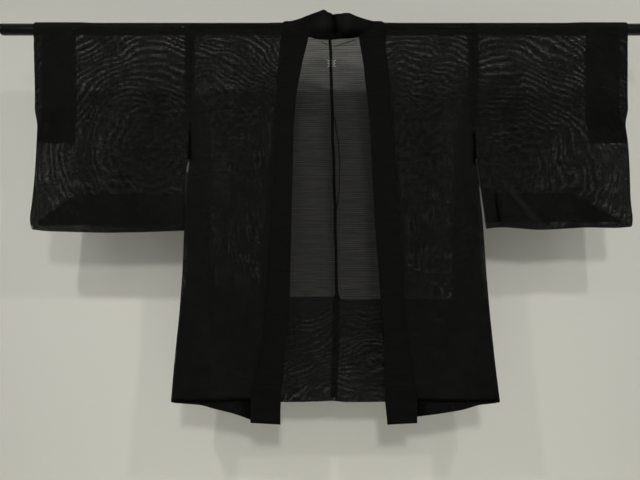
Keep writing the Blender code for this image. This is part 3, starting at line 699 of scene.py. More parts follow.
def sheet_mesh(sections, places, doubled=None, closed=False, closing_and_painted_shade=None, legs=None):
    """A sheet through rows of points, with each point's place on the cloth as its UV."""
    rows, columns = len(sections), len(sections[0])
    mesh = bmesh.new()
    bmesh.ops.create_grid(mesh, x_segments=columns - 1, y_segments=rows - 1, size=0.5)
    weave = mesh.loops.layers.uv.new("weave")
    layers = [mesh.verts.layers.float.new(name) for name in ("doubled", "closing_and_painted_shade", "painted_shading")]
    spots = {}
    for vert in mesh.verts:
        row = round((vert.co.y + 0.5) * (rows - 1))
        column = round((vert.co.x + 0.5) * (columns - 1))
        spots[vert] = place = places[row][column]
        vert.co = sections[row][column]
        vert[layers[0]] = 1.0 if doubled is None else doubled(*place)
        vert[layers[1]] = closing_and_painted_shade(*place) if closing_and_painted_shade else 0.0
        # Painted light and shade of the creases, the rod's top, the slits and the hem, kept at each point.
        vert[layers[2]] = paint_light_and_shade(legs(*place), vert.co.x, vert.co.z) if legs else 0.0
    for face in mesh.faces:
        for loop in face.loops:
            loop[weave].uv = spots[loop.vert]
    if closed:
        bmesh.ops.remove_doubles(mesh, verts=mesh.verts, dist=0.00001)
    return mesh


def finish_piece(name, mesh, material, node=None, wall=None):
    """Makes a mesh a named piece that rides with the jacket, with a wall if it is a sheet."""
    if not wall:
        bmesh.ops.remove_doubles(mesh, verts=mesh.verts, dist=0.000001)
    bmesh.ops.recalc_face_normals(mesh, faces=mesh.faces)
    data = bpy.data.meshes.new(name)
    mesh.to_mesh(data)
    mesh.free()
    data.materials.append(material)
    data.shade_smooth()
    piece = bpy.data.objects.new(name, data)
    bpy.context.scene.collection.objects.link(piece)
    if wall:
        solidify = piece.modifiers.new("wall", "SOLIDIFY")
        solidify.thickness = wall
        solidify.offset = 0.0
        solidify.use_even_offset = True
        solidify.use_rim = True
    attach(piece, "root")
    if node:
        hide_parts(node)
    return piece


def hem_painted_shade_closing(x, run):
    """The front cloth is closed below the crease of its hem, darkening it as painted shade of the recessed
    hem, and closed in a slit's painted shade.
    """
    below = 0.95 * ease((run - QUARTER + HEM_CREASE + 0.005) / 0.003) if run > 0 else 0.0
    return max(slit_shade(x, QUARTER - abs(run)), below)


def sleeve_closing_and_painted_shade(x, run):
    """A sleeve's cloth lets a little less light through at its outer foot, in front and behind, and is
    closed in a slit's painted shade.
    """
    start, gain = SLEEVE_FOOT_CLOSING[side_of(x)]
    foot_closing = gain * ease((abs(x) - start) / 0.02) * ease((0.21 - abs(run - 0.45)) / 0.02)
    return foot_closing + slit_shade(x, -run if run < SLEEVE_FOOT_RUN else run - SLEEVE_WHOLE_RUN)


def sleeve_doubling(x, run):
    """How strongly the two layers of a sleeve water: in front only, and less at its outer foot."""
    foot = ease((abs(x) - 0.545) / 0.05) * ease((run - 0.15) / 0.03)
    return ease((0.475 - run) / 0.02) * (1.0 - 0.30 * foot)


def body_doubling(x, run):
    """How strongly the two layers of the body water: in front only."""
    return ease((run - 0.02) / 0.01)


def hem_doubling(x, run):
    """How strongly a turned hem waters: more and more below its upper edge."""
    return mix(0.15, 1.0, ease((abs(run) - QUARTER - 0.590) / 0.070))


def body_leg(x, run):
    """Which leg of the body a place on its cloth belongs to."""
    return "front" if run > 0 else "back"


def sleeve_leg(x, run):
    """Which leg of a sleeve a place on its cloth belongs to."""
    return "front" if run < SLEEVE_FOOT_RUN else "back"


def build_body(side, material):
    """One body panel: back, over the shoulder and front in one length of cloth."""
    back, back_places = body_rows("back", side, LEG_TOP)
    front, front_places = body_rows("front", side, LEG_TOP)
    ahead = [QUARTER + step for step in SHOULDER_STEPS]
    runs = [-run for run in reversed(ahead)] + ROD_RUNS + ahead
    over = [body_row(side, run, [run] * BODY_COLUMNS) for run in runs]
    sections = back[::-1] + [row for row, _ in over] + front
    places = back_places[::-1] + [place for _, place in over] + front_places
    mesh = sheet_mesh(sections, places, body_doubling, closing_and_painted_shade=hem_painted_shade_closing, legs=body_leg)
    return finish_piece("body_panel_" + side, mesh, material, "body_" + side, CLOTH)


def build_gusset(side, material):
    """The narrow wedge between a front and a back, folded slightly inward."""
    sign = SIGN[side]
    sections, places = [], []
    for step in spread(0.0, 1.0, 66):
        across, place = [], []
        for part in spread(-1.0, 1.0, 9):
            low = mix(HEM_CREASE, read(BACK_HEM, "z", sign * GUSSET_HEM), (part + 1.0) / 2)
            z = mix(GUSSET_TOP, low, step)
            edge = read_soft(SIDE_SEAM, side, z) - sign * (CLOTH / 2 + SEAM_GAP)
            level = max(z, HEM_CREASE)
            front, back = (cloth_y(leg, edge, level, GUSSET_STEP) for leg in AHEAD)
            inward = GUSSET_FOLD * (1.0 - part * part) * ease((GUSSET_TOP - z) / 0.25)
            inward *= 1.0 + 0.25 * math.sin(z * 31.0 + sign)
            y = mix(front, back, (part + 1.0) / 2)
            across.append(Vector((edge - sign * inward, y, z)))
            place.append((y, z))
        sections.append(across)
        places.append(place)
    mesh = sheet_mesh(sections, places, lambda y, z: 0.4)
    return finish_piece("gusset_panel_" + side, mesh, material, "gusset_" + side, CLOTH)


def build_body_hem(leg, side, material):
    """A deep turned-up hem inside a front or back: its fold closes under the panel's edge."""
    sections, places = body_rows(leg, side, HEM_TOP[leg + "_" + side], LINING_STEP, HEM_SIDE_GAP)
    base = sections[-1]
    for out, drop in HEM_FOLD:
        sections.append([point + Vector((0.0, -AHEAD[leg] * out, -drop)) for point in base])
        places.append(places[-1])
    mesh = sheet_mesh(sections, places, hem_doubling, closing_and_painted_shade=hem_painted_shade_closing, legs=body_leg)
    name = f"turned_hem_{leg}_{side}"
    return finish_piece(name, mesh, material, node=f"hem_{leg}_{side}", wall=TURNED_CLOTH)


def build_sleeve(side, material):
    """A sleeve: folded over the rod, closed along its bottom and below the wrist opening."""
    sections = [sleeve_ring(side, part) for part in spread(0.0, 1.0, SLEEVE_COLUMNS)]
    places = []
    for ring in sections:
        run, row = 0.0, [(ring[0].x, 0.0)]
        for before, point in zip(ring, ring[1:]):
            run += math.hypot(point.y - before.y, point.z - before.z)
            row.append((point.x, run))
        places.append(row)
    mesh = sheet_mesh(
        sections, places, sleeve_doubling, closed=True, closing_and_painted_shade=sleeve_closing_and_painted_shade, legs=sleeve_leg
    )
    reach = max(abs(vert.co.x) for vert in mesh.verts)
    edges = []
    for edge in mesh.edges:
        ends = [vert.co for vert in edge.verts]
        upright = abs(ends[0].z - ends[1].z) > abs(ends[0].y - ends[1].y)
        low, high = sorted(end.z for end in ends)
        if edge.is_boundary and upright and abs(ends[0].x) > reach - 0.06:
            if high < -WRIST_DEPTH and low > SLEEVE_LOW - 0.0005:
                edges.append(edge)
    bmesh.ops.bridge_loops(mesh, edges=edges)
    return finish_piece("sleeve_cloth_" + side, mesh, material, "sleeve_" + side, CLOTH)


def build_cuff_facing(side, material):
    """The doubled band inside the wrist end of a sleeve."""
    heights = [z for z in SLEEVE_HEIGHTS if z > -CUFF_FACING_DEPTH + 0.001] + [-CUFF_FACING_DEPTH]
    even_end, count, edge_parts = CUFF_PARTS
    sections, places = [], []
    for part in spread(CUFF_PART, even_end, count) + edge_parts:
        near_edge = ease((part - 0.98) / 0.018)
        step = mix(LINING_STEP, 0.0005, near_edge)
        over = sleeve_arc(side, part, mix(FACING_RIDE, CUFF_RIDE - 0.0005, near_edge))
        front = [sleeve_point(side, part, z, "front", step) for z in heights]
        back = [sleeve_point(side, part, z, "back", step) for z in reversed(heights)]
        sections.append(back + over + front)
        row = [(point.x, point.z) for point in back]
        row += [(point.x, QUARTER + 0.4 + run) for point, run in zip(over, ROD_RUNS)]
        places.append(row + [(point.x, -point.z + 0.8) for point in front])
    mesh, node = sheet_mesh(sections, places), "cuff_facing_" + side
    return finish_piece("cuff_band_" + side, mesh, material, node=node, wall=TURNED_CLOTH)


def build_sleeve_hem(side, material):
    """The allowance kept flat against the front inside a sleeve's bottom."""
    edge_rows = SLEEVE_HEM[side]
    sections = []
    for z in spread(edge_rows[0]["z"], edge_rows[-1]["z"], 14):
        inner, outer = (read(SLEEVE_EDGE[side], edge, z) for edge in ("inner", "outer"))
        reach = (read(edge_rows, "outer", z) - inner) / (outer - inner)
        parts = spread(0.004, reach, 40)
        sections.append([sleeve_point(side, part, z, "front", LINING_STEP + BAG_GAP) for part in parts])
    mesh = sheet_mesh(sections, [[(point.x, point.z) for point in row] for row in sections])
    node = "sleeve_hem_" + side
    return finish_piece("sleeve_turning_" + side, mesh, material, node=node, wall=TURNED_CLOTH)


def collar_front_row(side, z):
    """The seam and fold of the collar where it hangs in front."""
    seam = collar_seam(side, z)
    fold = read_soft(COLLAR_FRONT, "fold_" + side, z)
    level = max(z, HEM_CREASE)
    depth = body_depth("front", seam, level) + COLLAR_STEP - sway("front", seam, level)
    loose = ripple("collar_" + side, z) * ease((-z - 0.16) / 0.2)
    tip = COLLAR_TIP_SLANT * ease((-0.80 - z) / 0.07)
    return [Vector((seam, -depth, z)), Vector((fold, -depth + loose, z - tip))]


def clear_rod(point):
    """Keeps a point of the collar outside the cloth that rides over the rod."""
    radius = math.hypot(point.y, point.z)
    near = max(ROD_BLEND - abs(radius - COLLAR_RIDE), 0.0) / ROD_BLEND
    share = ease((BLEND_REACH - abs(point.x)) / BLEND_FADE)
    grown = max(radius, COLLAR_RIDE) + share * near * near * ROD_BLEND / 4
    point.y *= grown / radius
    point.z *= grown / radius
    return point


def smooth_stops(stops):
    """Reads the collar's edges at even steps along a smooth curve through their stops."""
    rows = []
    last = len(stops) - 1
    for index in range(last):
        near = [stops[min(max(index + step, 0), last)] for step in (-1, 0, 1, 2)]
        for t in [step / NECK_STEPS for step in range(NECK_STEPS)]:
            ends = []
            for p, q, r, s in zip(*near):
                bend = (r - p) * 0.5 * t + (p - q * 2.5 + r * 2.0 - s * 0.5) * t * t
                ends.append(q + bend + (q * 1.5 - p * 0.5 - r * 1.5 + s * 0.5) * t * t * t)
            rows.append(ends)
    return rows + [stops[-1]]


def fold_share(fold, point, wider=1.0):
    """How much of a neck fold there is at a point."""
    wide = mix(fold["top"], fold["foot"], ease((0.040 - point.z) / 0.05)) * wider
    off = (point.x - fold["x"] - fold["lean"] * (point.z - 0.012)) / wide
    share = ease((point.z - fold["low"] + 0.005) / 0.010) * ease((fold["high"] - point.z) / 0.012)
    return bell(off) * share


def neck_painted_shading(point):
    """Painted shade and light on the collar: darker in its folds, paler on its rises, and darker where it
    hangs in before the neck.
    """
    out = -sum(fold["depth"] * NECK_SHADE * fold_share(fold, point, 1.25) for fold in NECK_FOLDS)
    hang_shade = ease((0.004 - point.z) / 0.016) * ease((point.z + 0.040) / 0.006)
    return out - 0.42 * hang_shade * ease((0.062 - abs(point.x - 0.004)) / 0.022)


def collar_neck_row(seam, fold, columns):
    """One section across the collar at the neck, drawn round the rod and hanging before it."""
    across = []
    for part in columns:
        point = seam.lerp(fold, part)
        point.y = mix(seam.y, fold.y, 1.0 - (1.0 - part) ** COLLAR_DROP)
        point = clear_rod(point)
        for neck_fold in NECK_FOLDS:
            point.y += neck_fold["depth"] * fold_share(neck_fold, point)
        across.append(clear_rod(point))
    return across


def collar_ring(points, ahead, behind):
    """The closed outline of the collar's doubled cloth round one row of its points."""
    half = COLLAR_CLOTH / 2
    outs = []
    for column, point in enumerate(points):
        across = points[min(column + 1, COLLAR_COLUMNS - 1)] - points[max(column - 1, 0)]
        outs.append((ahead[column] - behind[column]).cross(across).normalized())
    rims = []
    for end, beside, out in ((points[-1], points[-2], outs[-1]), (points[0], points[1], outs[0])):
        away = (end - beside).normalized()
        rims.append([
            end - away * half + out * (half * math.cos(angle)) + away * (half * math.sin(angle))
            for angle in spread(0.0, math.pi, 7)
        ])
    ring = [point + out * half for point, out in zip(points[1:-1], outs[1:-1])] + rims[0]
    ring += [point - out * half for point, out in zip(points[-2:0:-1], outs[-2:0:-1])]
    ring += rims[1][::-1]
    return ring + [ring[0].copy()]


def build_collar(material):
    """The folded collar: a flattened tube of cloth from one front tip round the neck to the other."""
    heights = [z for stretch in COLLAR_STRETCHES for z in spread(*stretch)]
    left = [collar_front_row("left", z) for z in heights]
    right = [collar_front_row("right", z) for z in reversed(heights)]
    stops = [left[-1]] + [[Vector(row["seam"]), Vector(row["fold"])] for row in COLLAR_NECK]
    neck = smooth_stops(stops + [right[0]])[1:-1]
    columns = spread(0.0, 1.0, COLLAR_COLUMNS)
    lines = [[seam.lerp(fold, part) for part in columns] for seam, fold in left]
    lines += [collar_neck_row(seam, fold, columns) for seam, fold in neck]
    lines += [[seam.lerp(fold, part) for part in columns] for seam, fold in right]
    sections, places, length = [], [], 0.0
    for points, ahead, behind in zip(lines, lines[1:] + lines[-1:], lines[:1] + lines):
        length += (points[COLLAR_COLUMNS // 2] - behind[COLLAR_COLUMNS // 2]).length
        ring = collar_ring(points, ahead, behind)
        run, row = 0.0, []
        for before, point in zip([ring[0]] + ring, ring):
            run += (point - before).length
            row.append((run, length))
        sections.append(ring)
        places.append(row)
    mesh = sheet_mesh(sections, places, closed=True)
    # Painted shade and light of the collar's folds at the neck.
    light = mesh.verts.layers.float["painted_shading"]
    for vert in mesh.verts:
        vert[light] = neck_painted_shading(vert.co)
    bmesh.ops.holes_fill(mesh, edges=[edge for edge in mesh.edges if edge.is_boundary])
    return finish_piece("collar_band", mesh, material, node="collar")


def build_strip(name, rows, material, columns=5):
    """A narrow allowance lying inside the cloth: rows give its outer and inner edge at each run."""
    places = [[(x, run) for x in spread(outer, inner, columns)] for run, outer, inner in rows]
    sections = [[body_point(x, run, STRIP_STEP) for x, run in row] for row in places]
    mesh = sheet_mesh(sections, places, legs=body_leg)
    return finish_piece(name, mesh, material, wall=TURNED_CLOTH)


def strip_rows(leg, ends, edges, *given):
    """Outer and inner edge of a strip at each run of a leg's cloth, from its top to its foot."""
    return [(AHEAD[leg] * (QUARTER - z), *edges(z, *given)) for z in spread(*ends)]


def armhole_rows(side):
    """Edges of the strip of allowances along an armhole: front, over the rod and back."""
    ahead = spread(QUARTER + 0.004, QUARTER + 0.214, 40)
    rows = []
    for run in [-run for run in reversed(ahead)] + ROD_RUNS + ahead:
        forward = ease(0.5 + run / (2 * QUARTER))
        loose = ripple("armhole", run)
        outer, inner = (mix(back, front, forward) - loose for back, front in zip(*ARMHOLE_STRIP))
        rows.append((run, SIGN[side] * (HALF_BODY + outer), SIGN[side] * (HALF_BODY - inner)))
    return rows


def side_edges(z, side, leg):
    """Edges of the allowance beside a side seam; the back one is widened into the slit as a dark sheet
    standing in for its shade.
    """
    outer = read_soft(SIDE_ALLOWANCE[side], "outer", z)
    if leg == "back":
        shade_sheet = ease((SLIT_TOP - z) / 0.006) * ease((z - SLIT_FOOT) / 0.004)
        outer += SIGN[side] * SLIT_SHADE_SHEET * shade_sheet
    return outer, read_soft(SIDE_ALLOWANCE[side], "inner", z) + ripple("side_" + leg, z)


def collar_edges(z, side):
    """Edges of the allowance that lies beside the collar's seam in front."""
    outer = read_soft(COLLAR_FRONT, "seam_" + side, z) + ripple("collar_strip", z)
    return outer, collar_seam(side, z) - SIGN[side] * COLLAR_STRIP_LAP


def centre_edges(z):
    """Edges of the centre back seam's narrow allowance, which is wider in the turned hem."""
    middle = read_soft(CENTRE_SEAM, "x", z, reach=0.006) + ripple("centre", z)
    half = mix(*CENTRE_STRIP_HALF, ease((-0.590 - z) / 0.010))
    return middle - half, middle + half


def selvedge_edges(z):
    """Edges of the selvedge that has come away beside the centre back seam."""
    top, foot, _ = SELVEDGE_STRIP
    bulge = SELVEDGE_BULGE * max(math.sin(math.pi * (z - top) / (foot - top)), 0.0) ** 0.7
    middle = read_soft(CENTRE_SEAM, "x", z) + SELVEDGE_OFF + bulge + ripple("selvedge", z)
    return middle - SELVEDGE_HALF, middle + SELVEDGE_HALF


def build_stitches(name, lines, material, size):
    """Short running stitches along lines on the back's cloth: each line's ends and its count."""
    mesh = bmesh.new()
    for start, end, count in lines:
        tilt = math.atan2(end[1] - start[1], end[0] - start[0])
        for part in spread(0.0, 1.0, count):
            x, z = mix(start[0], end[0], part), mix(start[1], end[1], part)
            spot = body_point(x, z - QUARTER) - Vector((0.0, STITCH_LIFT, 0.0))
            made = bmesh.ops.create_uvsphere(mesh, u_segments=8, v_segments=5, radius=1.0)["verts"]
            bmesh.ops.scale(mesh, verts=made, vec=size)
            bmesh.ops.rotate(mesh, verts=made, matrix=Matrix.Rotation(-tilt, 3, "Y"))
            bmesh.ops.translate(mesh, verts=made, vec=spot)
    return finish_piece(name, mesh, material)


def build_round(name, material, node, length, rounds, x=0.0):
    """A round bar along the rod's axis: rounds give each rounded end, its radius and its steps."""
    mesh = bmesh.new()
    bmesh.ops.create_cone(
        mesh, cap_ends=True, segments=ROD_SIDES, radius1=ROD_RADIUS, radius2=ROD_RADIUS, depth=length
    )
    for ends, size, steps in rounds:
        rim = [
            edge for edge in mesh.edges
            if any(min(vert.co.z * end for vert in edge.verts) > length * 0.45 for end in ends)
        ]
        bmesh.ops.bevel(
            mesh, geom=rim, offset=size, segments=steps, profile=0.5, affect="EDGES", material=-1
        )
    bmesh.ops.rotate(mesh, verts=mesh.verts, matrix=Matrix.Rotation(math.pi / 2, 3, "Y"))
    bmesh.ops.translate(mesh, verts=mesh.verts, vec=(x, 0.0, 0.0))
    piece = finish_piece(name, mesh, material, node)
    piece.data.set_sharp_from_angle(angle=math.radians(40))


def build_rod(material):
    """The round rod and a rounded cap seated on each of its ends."""
    build_round("rod_tube", material, "rod", ROD_LENGTH, [((-1, 1), 0.0005, 3)])
    for side, sign in SIGN.items():
        away = sign * (ROD_LENGTH / 2 + CAP_GAP + CAP_LENGTH / 2)
        rounds = [((sign,), CAP_ROUND, 10), ((-sign,), 0.0004, 3)]
        build_round("rod_end_" + side, material, "rod_cap_" + side, CAP_LENGTH, rounds, away)


def feed(tree, slot, value):
    """Gives a socket a value or a link."""
    if isinstance(value, bpy.types.NodeSocket):
        tree.links.new(value, slot)
    else:
        slot.default_value = value


def place(tree, kind, values=None, **settings):
    """A shader node with its settings and inputs."""
    node = tree.nodes.new("ShaderNode" + kind)
    for name, value in settings.items():
        setattr(node, name, value)
    for name, value in (values or {}).items():
        feed(tree, node.inputs[name], value)
    return node


def sums(tree, operation, *values, clamp=False):
    """A Math node's result."""
    node = place(tree, "Math", dict(enumerate(values)), operation=operation, use_clamp=clamp)
    return node.outputs[0]


def times(tree, *values):
    """One value times another."""
    return sums(tree, "MULTIPLY", *values)


def scaled(tree, value, gain, start, clamp=False):
    """A value times a gain, and a start added."""
    return sums(tree, "MULTIPLY_ADD", value, gain, start, clamp=clamp)


def ramp(tree, value, low, high, out_low=0.0, out_high=1.0):
    """A value read smoothly between two limits."""
    limits = dict(enumerate((value, low, high, out_low, out_high)))
    return place(tree, "MapRange", limits, interpolation_type="SMOOTHSTEP", clamp=True).outputs[0]


def stretch(tree, vector, size):
    """A vector scaled along each axis."""
    return place(tree, "VectorMath", {0: vector, 1: size}, operation="MULTIPLY").outputs[0]


def noise(tree, vector, size, detail=1.0, rough=0.5):
    """A soft noise about 0.5, read at a vector scaled along each axis."""
    node = place(tree, "TexNoise", {
        "Vector": stretch(tree, vector, size), "Scale": 1.0, "Detail": detail, "Roughness": rough,
    })
    return node.outputs[0]


def new_group(name, inputs, outputs):
    """An empty node group with named sockets."""
    tree = bpy.data.node_groups.new(name, "ShaderNodeTree")
    for label, value in inputs.items():
        kind = "NodeSocketVector" if value is None else "NodeSocketFloat"
        socket = tree.interface.new_socket(name=label, in_out="INPUT", socket_type=kind)
        if value is not None:
            socket.default_value = value
    for label in outputs:
        tree.interface.new_socket(name=label, in_out="OUTPUT", socket_type="NodeSocketFloat")
    return tree, tree.nodes.new("NodeGroupInput").outputs, tree.nodes.new("NodeGroupOutput").inputs


def use_group(tree, group, values):
    """A placed node group's results."""
    node = place(tree, "Group", node_tree=group)
    for name, value in values.items():
        feed(tree, node.inputs[name], value)
    return node.outputs


def ro_weave_group():
    """The weave: picks in bands with an open twisted row between them."""
    inputs = {"Place": None, "Row Pitch": 0.0048, "Thread Pitch": 0.0009}
    tree, given, out = new_group("ro weave", inputs, ("Height", "Open"))
    axes = place(tree, "SeparateXYZ", {0: given["Place"]}).outputs
    across = scaled(tree, noise(tree, given["Place"], (14.0, 30.0, 1.0), 2.0), 0.0022, axes[1])
    turn = times(tree, sums(tree, "DIVIDE", across, given["Row Pitch"]), 2.0 * math.pi)
    line = sums(tree, "POWER", scaled(tree, sums(tree, "COSINE", turn), 0.5, 0.5), 6.0)
    picks = sums(tree, "COSINE", times(tree, turn, 5.0))
    ends = sums(tree, "DIVIDE", axes[0], given["Thread Pitch"])
    ends = sums(tree, "COSINE", times(tree, ends, 2.0 * math.pi))
    height = scaled(tree, ends, 0.12, scaled(tree, picks, 0.16, 0.5))
    feed(tree, out["Height"], scaled(tree, line, -0.42, height))
    feed(tree, out["Open"], times(tree, line, scaled(tree, ends, -0.32, 0.68)))
    return tree


def slub_group():
    """Unevenness of the yarn: long streaks along the picks, and soft patches."""
    tree, given, out = new_group("yarn slubs", {"Place": None}, ("Streaks", "Patches"))
    feed(tree, out["Streaks"], noise(tree, given["Place"], (14.0, 240.0, 1.0), 2.0, 0.6))
    feed(tree, out["Patches"], noise(tree, given["Place"], (9.0, 9.0, 1.0), 2.0))
    return tree


def watering_group():
    """The watered look of two sheer layers: wandering broken rings like wood grain."""
    inputs = {"Place": None, "Centre": None, "Spacing": 0.013, "Wander": 7.0, "Fall": 0.0}
    tree, given, out = new_group("watered rings", inputs, ("Lines",))
    spot = given["Place"]
    height = sums(tree, "ABSOLUTE", place(tree, "SeparateXYZ", {0: spot}).outputs[1])
    low = times(tree, ramp(tree, height, 0.11, 0.28), given["Fall"])
    push = place(tree, "TexNoise", {
        "Vector": stretch(tree, spot, (7.0, 7.0, 1.0)), "Scale": 1.0, "Detail": 1.0,
    }).outputs["Color"]
    moved = place(tree, "VectorMath", {0: push, 1: (0.07, 0.07, 0.0), 2: spot}, operation="MULTIPLY_ADD")
    away = place(tree, "VectorMath", {0: moved.outputs[0], 1: given["Centre"]}, operation="DISTANCE")
    away = away.outputs["Value"]
    rings = times(tree, sums(tree, "DIVIDE", away, given["Spacing"]), scaled(tree, low, -0.8, 1.0))
    phase = scaled(tree, noise(tree, spot, (9.0, 9.0, 9.0), 2.0), given["Wander"], rings)
    phase = scaled(tree, times(tree, noise(tree, spot, (46.0, 5.0, 1.0), 2.0), low), 9.0, phase)
    phase = scaled(tree, noise(tree, spot, (120.0, 150.0, 1.0)), 0.7, phase)
    wave = sums(tree, "SINE", times(tree, phase, 2.0 * math.pi))
    lines = sums(tree, "POWER", scaled(tree, wave, 0.5, 0.5), 2.2)
    patches = ramp(tree, noise(tree, spot, (19.0, 24.0, 1.0), 2.0), 0.34, 0.62, 0.25, 1.0)
    broken = ramp(tree, noise(tree, spot, (190.0, 230.0, 1.0)), 0.36, 0.60, 0.10, 1.25)
    lines = times(tree, times(tree, lines, patches), broken)
    lines = times(tree, lines, scaled(tree, ramp(tree, away, 0.030, 0.100), 0.45, 0.55))
    blots = ramp(tree, noise(tree, spot, (74.0, 104.0, 1.0), 2.0), 0.40, 0.66, 0.0, 0.54)
    blots = times(tree, blots, ramp(tree, away, 0.09, 0.17, 1.0, 0.25))
    lines = sums(tree, "MAXIMUM", lines, blots)
    feed(tree, out["Lines"], times(tree, lines, scaled(tree, low, 0.10, 1.0)))
    return tree


def new_material(name, roughness, specular):
    """A node material and its shader."""
    material = bpy.data.materials.new(name)
    material.use_nodes = True
    tree = material.node_tree
    shader = tree.nodes["Principled BSDF"].inputs
    shader["Roughness"].default_value = roughness
    shader["Specular IOR Level"].default_value = specular
    return material, tree, shader


def paint(tree, shader, part, dark, pale, height, strength, distance, light=None):
    """Colours a shader between two shades, scaled by painted light and shade where given, and gives it a
    bump.
    """
    shade = place(tree, "Mix", {0: part, 6: (*dark, 1.0), 7: (*pale, 1.0)}, data_type="RGBA").outputs[2]
    if light:
        shade = place(tree, "VectorMath", {0: shade, "Scale": light}, operation="SCALE").outputs[0]
    feed(tree, shader["Base Color"], shade)
    bump = place(tree, "Bump", {"Strength": strength, "Distance": distance, "Height": height})
    feed(tree, shader["Normal"], bump.outputs[0])


def cloth_material(name, see_through, centre=(0.0, 0.0), wander=7.0, watering=0.0, closing=0.27,
                   fall=0.0, tone=1.0):
    """Black summer cloth: its weave, slubs, painted light and shade and, where it is sheer, how much light
    passes.
    """
    material, tree, shader = new_material(name, 0.74, 0.0)
    uv = place(tree, "UVMap", uv_map="weave").outputs[0]
    kinds = ("closing_and_painted_shade", "doubled", "painted_shading")
    closing_and_painted_shade, doubled, painted_shading = (place(tree, "Attribute", attribute_name=kind).outputs["Fac"] for kind in kinds)
    weave = use_group(tree, GROUPS["weave"], {"Place": uv})
    slubs = use_group(tree, GROUPS["slubs"], {"Place": uv})
    pale = times(tree, ramp(tree, slubs["Streaks"], 0.3, 0.7), 0.14)
    if watering:
        lines = use_group(tree, GROUPS["watering"], {
            "Place": uv, "Centre": (*centre, 0.0), "Wander": wander, "Fall": fall,
        })["Lines"]
        glint = times(tree, times(tree, lines, doubled), sums(tree, "SUBTRACT", 1.0, closing_and_painted_shade))
        pale = scaled(tree, glint, 0.75, pale)
    dark, light = ([part * tone for part in shade] for shade in (CLOTH_DARK, CLOTH_PALE))
    height = scaled(tree, slubs["Streaks"], 0.20, weave["Height"])
    # Painted light and shade scale the colour, never below 0.12 of it.
    painted_shading = sums(tree, "MAXIMUM", sums(tree, "ADD", painted_shading, 1.0), 0.12)
    paint(tree, shader, pale, dark, light, height, 0.5, 0.00025, painted_shading)
    feed(tree, shader["Roughness"], scaled(tree, slubs["Patches"], 0.16, 0.74))
    if see_through:
        passing = scaled(tree, weave["Open"], 0.34, 0.985)
        passing = times(tree, passing, scaled(tree, slubs["Streaks"], 0.55, 0.725))
        # Closing lets less light through: painted shade in the slits and below the front hem's crease.
        passing = times(tree, passing, sums(tree, "SUBTRACT", 1.0, closing_and_painted_shade))
        if watering:
            lines = scaled(tree, lines, watering, -closing * watering)
            passing = times(tree, passing, scaled(tree, lines, doubled, 1.0))
        feed(tree, shader["Alpha"], scaled(tree, passing, -see_through, 1.0, clamp=True))
    return material


def thread_material(name, colour):
    """Spun thread: fine twisted lines in one colour."""
    material, tree, shader = new_material(name, 0.8, 0.1)
    spot = place(tree, "TexCoord").outputs["Object"]
    twist = noise(tree, spot, (2600.0, 900.0, 1400.0), 2.0)
    paint(tree, shader, twist, [part * 0.8 for part in colour], colour, twist, 0.4, 0.0001)
    return material


def rod_material():
    """Satin black paint with a faint orange peel, rubbed marks and a little dust."""
    material, tree, shader = new_material("rod paint", 0.20, 0.16)
    spot = place(tree, "TexCoord").outputs["Object"]
    worn = ramp(tree, noise(tree, spot, (9.0, 160.0, 160.0), 3.0, 0.6), 0.45, 0.75)
    specks = ramp(tree, noise(tree, spot, (260.0, 260.0, 260.0), 3.0, 0.7), 0.60, 0.72)
    marks = sums(tree, "MAXIMUM", times(tree, worn, 0.5), specks)
    peel = noise(tree, spot, (900.0, 900.0, 900.0))
    paint(tree, shader, marks, (0.0022, 0.0022, 0.0022), (0.0065, 0.0065, 0.0061), peel, 0.25, 0.0001)
    feed(tree, shader["Roughness"], scaled(tree, specks, 0.15, scaled(tree, worn, 0.10, 0.20)))
    return material


def stage_material(name, colour):
    """A plain pale surface that can't be seen from behind."""
    material, tree, shader = new_material(name, 0.9, 0.1)
    grain = noise(tree, place(tree, "TexCoord").outputs["Object"], (420.0, 420.0, 420.0), 3.0, 0.6)
    dark, pale = ([part * tone for part in colour] for tone in (0.97, 1.03))
    paint(tree, shader, grain, dark, pale, grain, 0.12, 0.0006)
    behind = place(tree, "NewGeometry").outputs["Backfacing"]
    clear = place(tree, "BsdfTransparent").outputs[0]
    blend = place(tree, "MixShader", {0: behind, 1: tree.nodes["Principled BSDF"].outputs[0], 2: clear})
    feed(tree, tree.nodes["Material Output"].inputs["Surface"], blend.outputs[0])
    return material


def place_object(name, data, spot=(0.0, 0.0, 0.0), turn=(0.0, 0.0, 0.0)):
    """A light, camera or stage surface at its place."""
    thing = bpy.data.objects.new(name, data)
    thing.location = spot
    thing.rotation_euler = turn
    bpy.context.scene.collection.objects.link(thing)
    return thing


def build_stage_plane(name, centre, turn, size, material):
    """A flat stage surface."""
    mesh = bmesh.new()
    bmesh.ops.create_grid(mesh, x_segments=1, y_segments=1, size=0.5)
    bmesh.ops.scale(mesh, verts=mesh.verts, vec=(size[0], size[1], 1.0))
    bmesh.ops.rotate(mesh, verts=mesh.verts, matrix=Matrix.Rotation(math.radians(turn), 3, "X"))
    bmesh.ops.translate(mesh, verts=mesh.verts, vec=centre)
    data = bpy.data.meshes.new(name)
    mesh.to_mesh(data)
    mesh.free()
    data.materials.append(material)
    plane = place_object(name, data)
    return plane


def build_light(name, kind, spot, aim, size, power, cone=None, long=None):
    """A soft disc or a long strip of light, or a lamp with a soft cone, aimed at a point."""
    data = bpy.data.lights.new(name, kind)
    data.energy = power
    data.color = (1.0, 0.985, 0.96)
    if kind == "AREA":
        data.shape = "RECTANGLE" if long else "DISK"
        data.size = long or size
        data.size_y = size
    else:
        data.shadow_soft_size = size / 2
        data.spot_size = math.radians(cone)
        data.spot_blend = 1.0
    turn = (Vector(aim) - Vector(spot)).to_track_quat("-Z", "Y").to_euler()
    place_object(name, data, spot, turn).visible_camera = False


